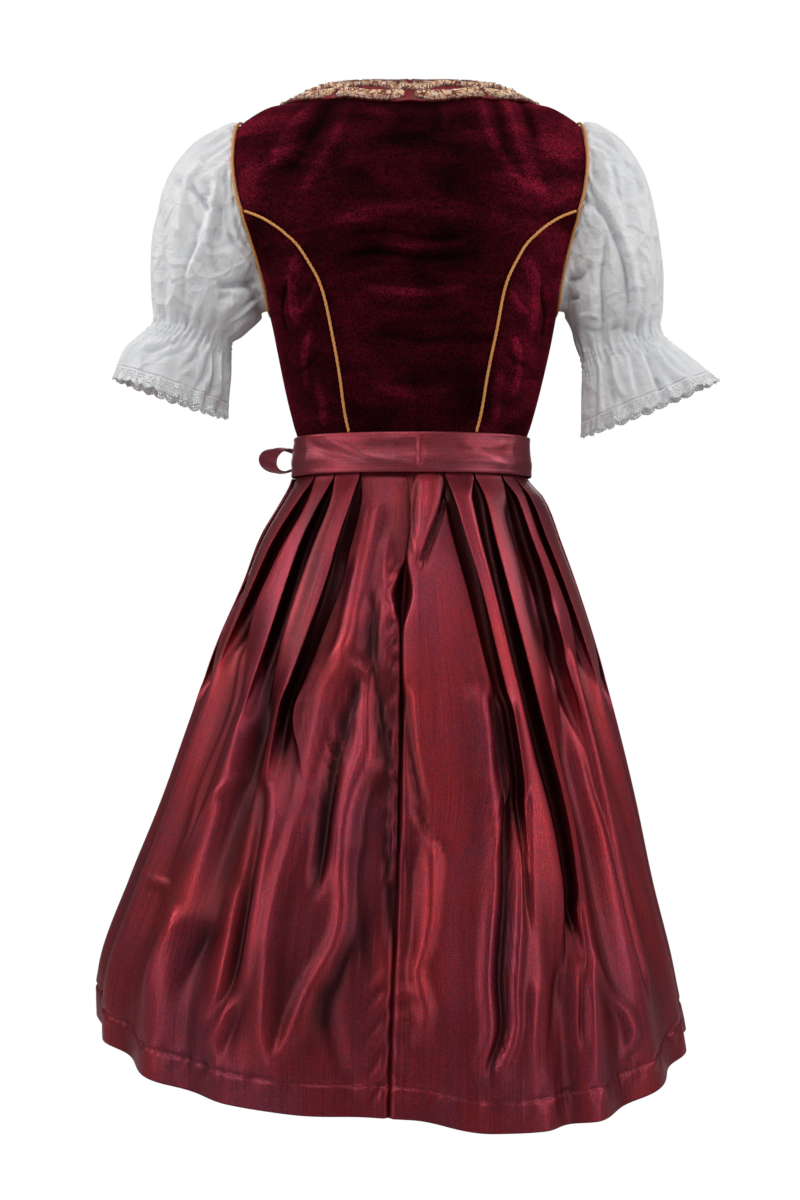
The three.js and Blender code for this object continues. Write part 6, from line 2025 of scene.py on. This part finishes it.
def satin_material(name, two_tones, sheen, metal, rough, crosswise=False):
    """Changeant satin. Its warp runs down the piece, or across it in a band."""
    material, tree, shader, place, drift = new_cloth(name)
    streaks = use_group(tree, "streaks")
    warp = add(tree, "Mapping")
    warp.inputs["Rotation"].default_value = (0.0, 0.0, math.pi / 2 if crosswise else 0.0)
    join(tree, place.outputs["UV"], warp.inputs["Vector"])
    join(tree, warp.outputs["Vector"], streaks.inputs[0])
    weave = use_group(tree, "weave")
    weave.inputs[0].default_value = 1500.0
    two = math_node(tree, "MULTIPLY", drift.outputs["Patches"], 0.5)
    broad = math_node(tree, "MULTIPLY", streaks.outputs["Broad"], 0.4)
    two = math_node(tree, "ADD", two, broad)
    slub = noise(tree, place.outputs["Object"], 430.0, 2.0, 0.6)
    two = math_node(tree, "ADD", two, ranged(tree, slub, 0.34, 0.66, -0.3, 0.4), True)
    colour = mixed_colour(tree, two, *two_tones)
    fine = mixed_colour(tree, streaks.outputs["Fine"], (0.8, 0.8, 0.8), (1.2, 1.2, 1.2))
    colour = mixed_colour(tree, 1.0, colour, fine, "MULTIPLY")
    specks = mixed_colour(tree, drift.outputs["Specks"], (0.6, 0.6, 0.6), (1.4, 1.4, 1.4))
    colour = mixed_colour(tree, 1.0, colour, specks, "MULTIPLY")
    # Painted shade deep between the satin's folds and a painted highlight on their tops.
    join(tree, shaded_folds(tree, colour, (0.2, 0.14, 0.15), 1.5), shader.inputs["Base Color"])
    join(tree, 
        ranged(tree, streaks.outputs["Fine"], 0.0, 1.0, rough - 0.04, rough + 0.05),
        shader.inputs["Roughness"],
    )
    set_inputs(shader, {"Metallic": metal, "Anisotropic": 0.5, "Anisotropic Rotation": 0.25,
                        "Specular IOR Level": 0.55, "Sheen Weight": 0.12, "Sheen Roughness": 0.3,
                        "Sheen Tint": (*sheen, 1.0)})
    tangent = add(tree, "Tangent")
    tangent.direction_type = "UV_MAP"
    tangent.uv_map = "cloth"
    join(tree, tangent.outputs[0], shader.inputs["Tangent"])
    height = math_node(tree, "MULTIPLY", weave.outputs[0], 0.25)
    height = math_node(tree, "ADD", height, streaks.outputs["Fine"])
    first = bumped(tree, None, streaks.outputs["Crinkle"], 0.0006, 0.3)
    bumped(tree, shader, height, 0.00012, 0.5, first)
    return material


def cotton_material(colours):
    material, tree, shader, place, drift = new_cloth("Cotton")
    weave = use_group(tree, "weave")
    weave.inputs[0].default_value = 1100.0
    creases = use_group(tree, "creases")
    join(tree, place.outputs["Object"], creases.inputs[0])
    shade = mixed_colour(tree, drift.outputs["Patches"], tuple(colours.cotton_shade), tuple(colours.cotton))
    # Painted shade in the cotton's creases and a painted highlight on its folds' tops.
    join(tree, shaded_folds(tree, shade, (0.78, 0.79, 0.82), 1.04), shader.inputs["Base Color"])
    set_inputs(shader, {"Roughness": 0.85, "Specular IOR Level": 0.25, "Sheen Weight": 0.15,
                        "Sheen Roughness": 0.5})
    first = bumped(tree, None, creases.outputs[0], 0.005, 0.8)
    bumped(tree, shader, weave.outputs[0], 0.00015, 0.4, first)
    return material


def lace_material(colours):
    material, tree, shader = new_material("Lace")
    place = add(tree, "TexCoord")
    split = add(tree, "SeparateXYZ")
    join(tree, place.outputs["UV"], split.inputs[0])
    cell = add(tree, "TexVoronoi")
    cell.feature = "DISTANCE_TO_EDGE"
    set_inputs(cell, {"Scale": 420.0, "Randomness": 0.35})
    join(tree, place.outputs["UV"], cell.inputs["Vector"])
    thread = ranged(tree, cell.outputs["Distance"], 0.22, 0.28, 1.0, 0.0)
    flower = add(tree, "TexVoronoi")
    set_inputs(flower, {"Scale": 130.0, "Randomness": 0.5})
    join(tree, place.outputs["UV"], flower.inputs["Vector"])
    solid = ranged(tree, flower.outputs["Distance"], 0.3, 0.42, 1.0, 0.0)
    edge = ranged(tree, split.outputs["Y"], 0.0018, 0.0026, 1.0, 0.0)
    hem = ranged(tree, split.outputs["Y"], 0.0105, 0.0115, 0.0, 1.0)
    cover = math_node(tree, "MAXIMUM", math_node(tree, "MAXIMUM", thread, solid), edge)
    cover = math_node(tree, "MAXIMUM", cover, hem)
    join(tree, cover, shader.inputs["Alpha"])
    colour = mixed_colour(tree, solid, tuple(colours.cotton_shade), tuple(colours.cotton))
    join(tree, colour, shader.inputs["Base Color"])
    shader.inputs["Roughness"].default_value = 0.9
    bumped(tree, shader, cover, 0.0003, 0.4)
    return material


def cord_material(colours):
    material, tree, shader, _, drift = new_cloth("Gold cord")
    dark, light = tuple(colours.cord_dark), tuple(colours.cord)
    colour = mixed_colour(tree, drift.outputs["Specks"], dark, light)
    join(tree, colour, shader.inputs["Base Color"])
    shader.inputs["Roughness"].default_value = 0.5
    bumped(tree, shader, drift.outputs["Specks"], 0.0003, 0.5)
    return material


def brocade_material(colours):
    material, tree, shader, place, drift = new_cloth("Gold brocade")
    leaf = add(tree, "TexVoronoi")
    leaf.feature = "DISTANCE_TO_EDGE"
    leaf.inputs["Scale"].default_value = 150.0
    join(tree, place.outputs["UV"], leaf.inputs["Vector"])
    figure = noise(tree, place.outputs["UV"], 190.0, 2.0, 0.5, 1.2)
    outline = ranged(tree, leaf.outputs["Distance"], 0.03, 0.1)
    pattern = math_node(tree, "MULTIPLY", outline, ranged(tree, figure, 0.38, 0.46))
    colour = mixed_colour(tree, pattern, tuple(colours.brocade_dark), tuple(colours.brocade))
    sequin = ranged(tree, noise(tree, place.outputs["Object"], 330.0, 1.0, 0.5), 0.6, 0.64)
    colour = mixed_colour(tree, sequin, colour, tuple(colours.sequin))
    # Painted shade in the trim's low places and a painted highlight on its lips.
    colour = shaded_folds(tree, colour, (0.2, 0.035, 0.03), 1.3)
    grain = mixed_colour(tree, drift.outputs["Specks"], (0.75, 0.75, 0.75), (1.25, 1.25, 1.25))
    join(tree, mixed_colour(tree, 1.0, colour, grain, "MULTIPLY"), shader.inputs["Base Color"])
    set_inputs(shader, {"Metallic": 0.12, "Roughness": 0.34})
    weave = use_group(tree, "weave")
    weave.inputs[0].default_value = 700.0
    both = math_node(tree, "ADD", weave.outputs[0], math_node(tree, "MULTIPLY", pattern, 2.0))
    bumped(tree, shader, both, 0.0003, 0.6)
    return material


def plain_finish(name, colour, rough, metal=0.0, coat=0.0):
    """A small piece's finish: one colour broken by fine specks."""
    material, tree, shader, _, drift = new_cloth(name)
    dark = tuple(0.6 * c for c in colour)
    light = tuple(min(1.3 * c, 1.0) for c in colour)
    join(tree, mixed_colour(tree, drift.outputs["Specks"], dark, light), shader.inputs["Base Color"])
    set_inputs(shader, {"Roughness": rough, "Metallic": metal, "Coat Weight": coat})
    return material


materials = {}


def finish_for(kind):
    """The material of one kind of cloth or trim, made once."""
    if kind in materials:
        return materials[kind]
    colours = bpy.context.scene.dirndl_colours
    skirt = (tuple(colours.satin), tuple(colours.satin_other))
    apron = (tuple(colours.apron), tuple(colours.apron_other))
    makers = {
        "velvet": lambda: velvet_material(colours),
        "satin": lambda: satin_material("Skirt satin", skirt, colours.satin_sheen, 0.68, 0.4),
        "apron": lambda: satin_material("Apron satin", apron, colours.satin_sheen, 0.65, 0.42),
        "ribbon": lambda: satin_material("Ribbon satin", apron, colours.satin_sheen, 0.65, 0.42, True),
        "cotton": lambda: cotton_material(colours),
        "lace": lambda: lace_material(colours),
        "cord": lambda: cord_material(colours),
        "brocade": lambda: brocade_material(colours),
        "lining": lambda: plain_finish("Red lining", tuple(colours.lining), 0.5),
        "bead": lambda: plain_finish("Beads", tuple(colours.bead), 0.15, 0.6, 0.5),
        "thread": lambda: plain_finish("Thread", tuple(colours.thread), 0.5),
    }
    materials[kind] = makers[kind]()
    return materials[kind]


# ---------- Stage ----------
LENS, SENSOR = 53.8, 36.0
FLOOR_Z = -1.25


def area_light(name, place, target, size, power):
    data = bpy.data.lights.new(name, "AREA")
    data.shape = "RECTANGLE"
    data.size, data.size_y = size
    data.energy = power
    lamp = bpy.data.objects.new(name, data)
    bpy.context.scene.collection.objects.link(lamp)
    lamp.location = place
    lamp.rotation_mode = "QUATERNION"
    lamp.rotation_quaternion = (Vector(target) - Vector(place)).to_track_quat("-Z", "Y")


def split_by_ray(tree, lit, seen, output):
    """Sends seen to the camera's own rays and lit to all the others."""
    path, choice = add(tree, "LightPath"), add(tree, "MixShader")
    join(tree, path.outputs["Is Camera Ray"], choice.inputs["Fac"])
    join(tree, lit.outputs[0], choice.inputs[1])
    join(tree, seen.outputs[0], choice.inputs[2])
    join(tree, choice.outputs[0], output.inputs["Surface"])


def make_world():
    world = bpy.data.worlds.new("White studio")
    bpy.context.scene.world = world
    tree = cleared_tree(world)
    output = add(tree, "OutputWorld")
    seen, light = add(tree, "Background"), add(tree, "Background")
    seen.inputs["Strength"].default_value = 1.0
    light.inputs["Strength"].default_value = 0.1
    for background in (seen, light):
        background.inputs["Color"].default_value = (1.0, 1.0, 1.0, 1.0)
    split_by_ray(tree, light, seen, output)


def make_floor():
    sides = 64
    turn = math.tau * np.arange(sides) / sides
    ring = np.stack([4 * np.cos(turn), 4 * np.sin(turn), np.full(sides, FLOOR_Z)], -1)
    mesh = bpy.data.meshes.new("floor")
    mesh.from_pydata([tuple(p) for p in ring], [], [tuple(range(sides))])
    floor = bpy.data.objects.new("floor", mesh)
    bpy.context.scene.collection.objects.link(floor)
    material = bpy.data.materials.new("Pale floor")
    tree = cleared_tree(material)
    output = add(tree, "OutputMaterial")
    pale, white = add(tree, "BsdfDiffuse"), add(tree, "Emission")
    pale.inputs["Color"].default_value = (0.55, 0.55, 0.55, 1.0)
    white.inputs["Strength"].default_value = 1.0
    split_by_ray(tree, pale, white, output)
    mesh.materials.append(material)


def make_stage():
    scene = bpy.context.scene
    scene.view_settings.view_transform = "Standard"
    make_world()
    make_floor()
    middle = (0.0, 0.0, -0.5)
    area_light("key softbox", (0.3, 1.6, 2.0), (0.0, 0.0, -0.2), (0.9, 0.9), 21)
    area_light("left softbox", (2.0, 1.8, 0.1), middle, (0.5, 1.9), 15)
    area_light("right softbox", (-2.0, 1.8, 0.1), middle, (0.5, 1.9), 15)
    area_light("left strip", (2.1, 0.0, 1.0), (0.0, 0.0, -0.1), (0.6, 0.6), 19)
    area_light("right strip", (-2.1, 0.0, 1.0), (0.0, 0.0, -0.1), (0.6, 0.6), 19)
    area_light("front fill", (0.0, -2.6, 0.4), middle, (2.0, 1.6), 20)
    data = bpy.data.cameras.new("camera")
    data.lens, data.sensor_width, data.sensor_fit = LENS, SENSOR, "AUTO"
    camera = bpy.data.objects.new("camera", data)
    scene.collection.objects.link(camera)
    camera.location = [MM * k for k in EYE]
    camera.rotation_euler = (math.pi / 2, 0, math.pi)
    scene.camera = camera


# ---------- Add-on ----------
def colour_property(name, description, default):
    return bpy.props.FloatVectorProperty(
        name=name, description=description, default=default, subtype="COLOR", min=0, max=1
    )


class DirndlColours(bpy.types.PropertyGroup):
    velvet: colour_property("Velvet", "Velvet where its pile catches the light", (0.165, 0.007, 0.021))
    velvet_dark: colour_property("Velvet, dark", "Velvet where its pile is pressed", (0.006, 0.0004, 0.001))
    velvet_sheen: colour_property("Velvet sheen", "Sheen of the pile", (0.62, 0.03, 0.09))
    satin: colour_property("Skirt satin", "Main colour of the skirt", (0.34, 0.019, 0.021))
    satin_other: colour_property("Skirt satin, other", "Second colour of the skirt", (0.18, 0.026, 0.052))
    satin_sheen: colour_property("Satin sheen", "Glow of the satin seen flat", (0.8, 0.08, 0.05))
    apron: colour_property("Apron satin", "Main colour of the apron", (0.42, 0.04, 0.06))
    apron_other: colour_property("Apron satin, other", "Second colour of the apron", (0.24, 0.06, 0.085))
    cotton: colour_property("Cotton", "Blouse", (0.96, 0.96, 0.965))
    cotton_shade: colour_property("Cotton, shade", "Blouse in its duller places", (0.9, 0.91, 0.93))
    cord: colour_property("Cord", "Piping", (1.0, 0.47, 0.13))
    cord_dark: colour_property("Cord, dark", "Piping between its strands", (0.62, 0.2, 0.05))
    brocade: colour_property("Brocade", "Neck trim", (0.95, 0.6, 0.36))
    brocade_dark: colour_property("Brocade, dark", "Figure of the neck trim", (0.2, 0.035, 0.018))
    sequin: colour_property("Sequins", "Bright sequins of the neck trim", (1.0, 0.82, 0.7))
    lining: colour_property("Lining", "Red inside the neck trim's mouths", (0.26, 0.012, 0.02))
    bead: colour_property("Beads", "Small beads of the neck trim", (1.0, 0.84, 0.76))
    thread: colour_property("Thread", "Sewing thread", (0.12, 0.015, 0.025))


def size_property(name, description, default):
    return bpy.props.FloatProperty(
        name=name, description=description, default=default * MM, min=0, precision=4, unit="LENGTH"
    )


class DirndlSizes(bpy.types.PropertyGroup):
    cord_radius: size_property("Cord radius", "Radius of the piping", 1.5)
    lip_height: size_property("Lip height", "How far the lips of the neck trim stand off the velvet", 6.4)
    hem_band: size_property("Hem", "Height of the skirt's turned-up hem", 28)
    ribbon_width: size_property("Ribbon width", "Width of the bow's hanging ends", 36)
    lace_depth: size_property("Lace depth", "Depth of the lace edging above its scallops", 12)


class DIRNDL_OT_stage(bpy.types.Operator):
    """Sets up the floor, the lights and the camera"""

    bl_idname = "dirndl.stage"
    bl_label = "Stage"

    def execute(self, context):
        make_stage()
        return {"FINISHED"}


class DIRNDL_OT_bodice(bpy.types.Operator):
    """Sews the five velvet panels of the bodice"""

    bl_idname = "dirndl.bodice"
    bl_label = "Bodice"

    def execute(self, context):
        velvet = finish_for("velvet")
        make_back_centre(velvet)
        for side, flip in SIDES:
            make_side_back(velvet, side, flip)
            make_front(velvet, side, flip)
        return {"FINISHED"}


class DIRNDL_OT_piping(bpy.types.Operator):
    """Lays the twisted cord in the back seams and round the armholes"""

    bl_idname = "dirndl.piping"
    bl_label = "Piping"

    def execute(self, context):
        make_pipings(finish_for("cord"))
        return {"FINISHED"}


class DIRNDL_OT_neck_trim(bpy.types.Operator):
    """Folds the box-pleated trim round the neckline and sews on its beads"""

    bl_idname = "dirndl.neck_trim"
    bl_label = "Neck trim"

    def execute(self, context):
        finishes = [finish_for(kind) for kind in ("brocade", "lining", "bead")]
        left = chart_points(NECK_BACK)
        right = left[:0:-1] * np.array([-1.0, 1.0])
        back = Line(spline(np.concatenate([right, left])))
        make_neck_trim("trim_back", "neck_trim_back", back, -1, 1.0, TRIM_COLUMNS_BEHIND, finishes)
        for side, flip in SIDES:
            names = "trim_" + side, "neck_trim_" + side
            make_neck_trim(*names, neck_front, 1, flip, TRIM_COLUMNS_FRONT, finishes)
        return {"FINISHED"}


class DIRNDL_OT_skirt(bpy.types.Operator):
    """Pleats the three panels of the skirt and sews their hem"""

    bl_idname = "dirndl.skirt"
    bl_label = "Skirt"

    def execute(self, context):
        make_skirt(finish_for("satin"), finish_for("thread"))
        return {"FINISHED"}


class DIRNDL_OT_apron(bpy.types.Operator):
    """Hangs the apron and ties its band and bow"""

    bl_idname = "dirndl.apron"
    bl_label = "Apron"

    def execute(self, context):
        make_band(finish_for("ribbon"))
        make_apron(finish_for("apron"), finish_for("thread"))
        make_bow(finish_for("ribbon"))
        return {"FINISHED"}


class DIRNDL_OT_blouse(bpy.types.Operator):
    """Sews the blouse's body, its puff sleeves and their lace"""

    bl_idname = "dirndl.blouse"
    bl_label = "Blouse"

    def execute(self, context):
        cotton = finish_for("cotton")
        make_blouse(cotton)
        make_sleeves(cotton, finish_for("lace"))
        return {"FINISHED"}


class DIRNDL_PT_panel(bpy.types.Panel):
    """Lists the steps, the sizes and the colours"""

    bl_label = "Dirndl"
    bl_space_type = "VIEW_3D"
    bl_region_type = "UI"
    bl_category = "Dirndl"

    def draw(self, context):
        for operator in OPERATORS:
            self.layout.operator(operator.bl_idname)
        for name in DirndlSizes.__annotations__:
            self.layout.prop(context.scene.dirndl_sizes, name)
        for name in DirndlColours.__annotations__:
            self.layout.prop(context.scene.dirndl_colours, name)


OPERATORS = [
    DIRNDL_OT_stage,
    DIRNDL_OT_bodice,
    DIRNDL_OT_piping,
    DIRNDL_OT_neck_trim,
    DIRNDL_OT_skirt,
    DIRNDL_OT_apron,
    DIRNDL_OT_blouse,
]
CLASSES = [DirndlSizes, DirndlColours, *OPERATORS, DIRNDL_PT_panel]


def register():
    for cls in CLASSES:
        bpy.utils.register_class(cls)
    bpy.types.Scene.dirndl_sizes = bpy.props.PointerProperty(type=DirndlSizes)
    bpy.types.Scene.dirndl_colours = bpy.props.PointerProperty(type=DirndlColours)


def unregister():
    del bpy.types.Scene.dirndl_colours
    del bpy.types.Scene.dirndl_sizes
    for cls in reversed(CLASSES):
        bpy.utils.unregister_class(cls)


def main():
    register()
    for operator in OPERATORS:
        group, name = operator.bl_idname.split(".")
        getattr(getattr(bpy.ops, group), name)()


if __name__ == "__main__":
    main()
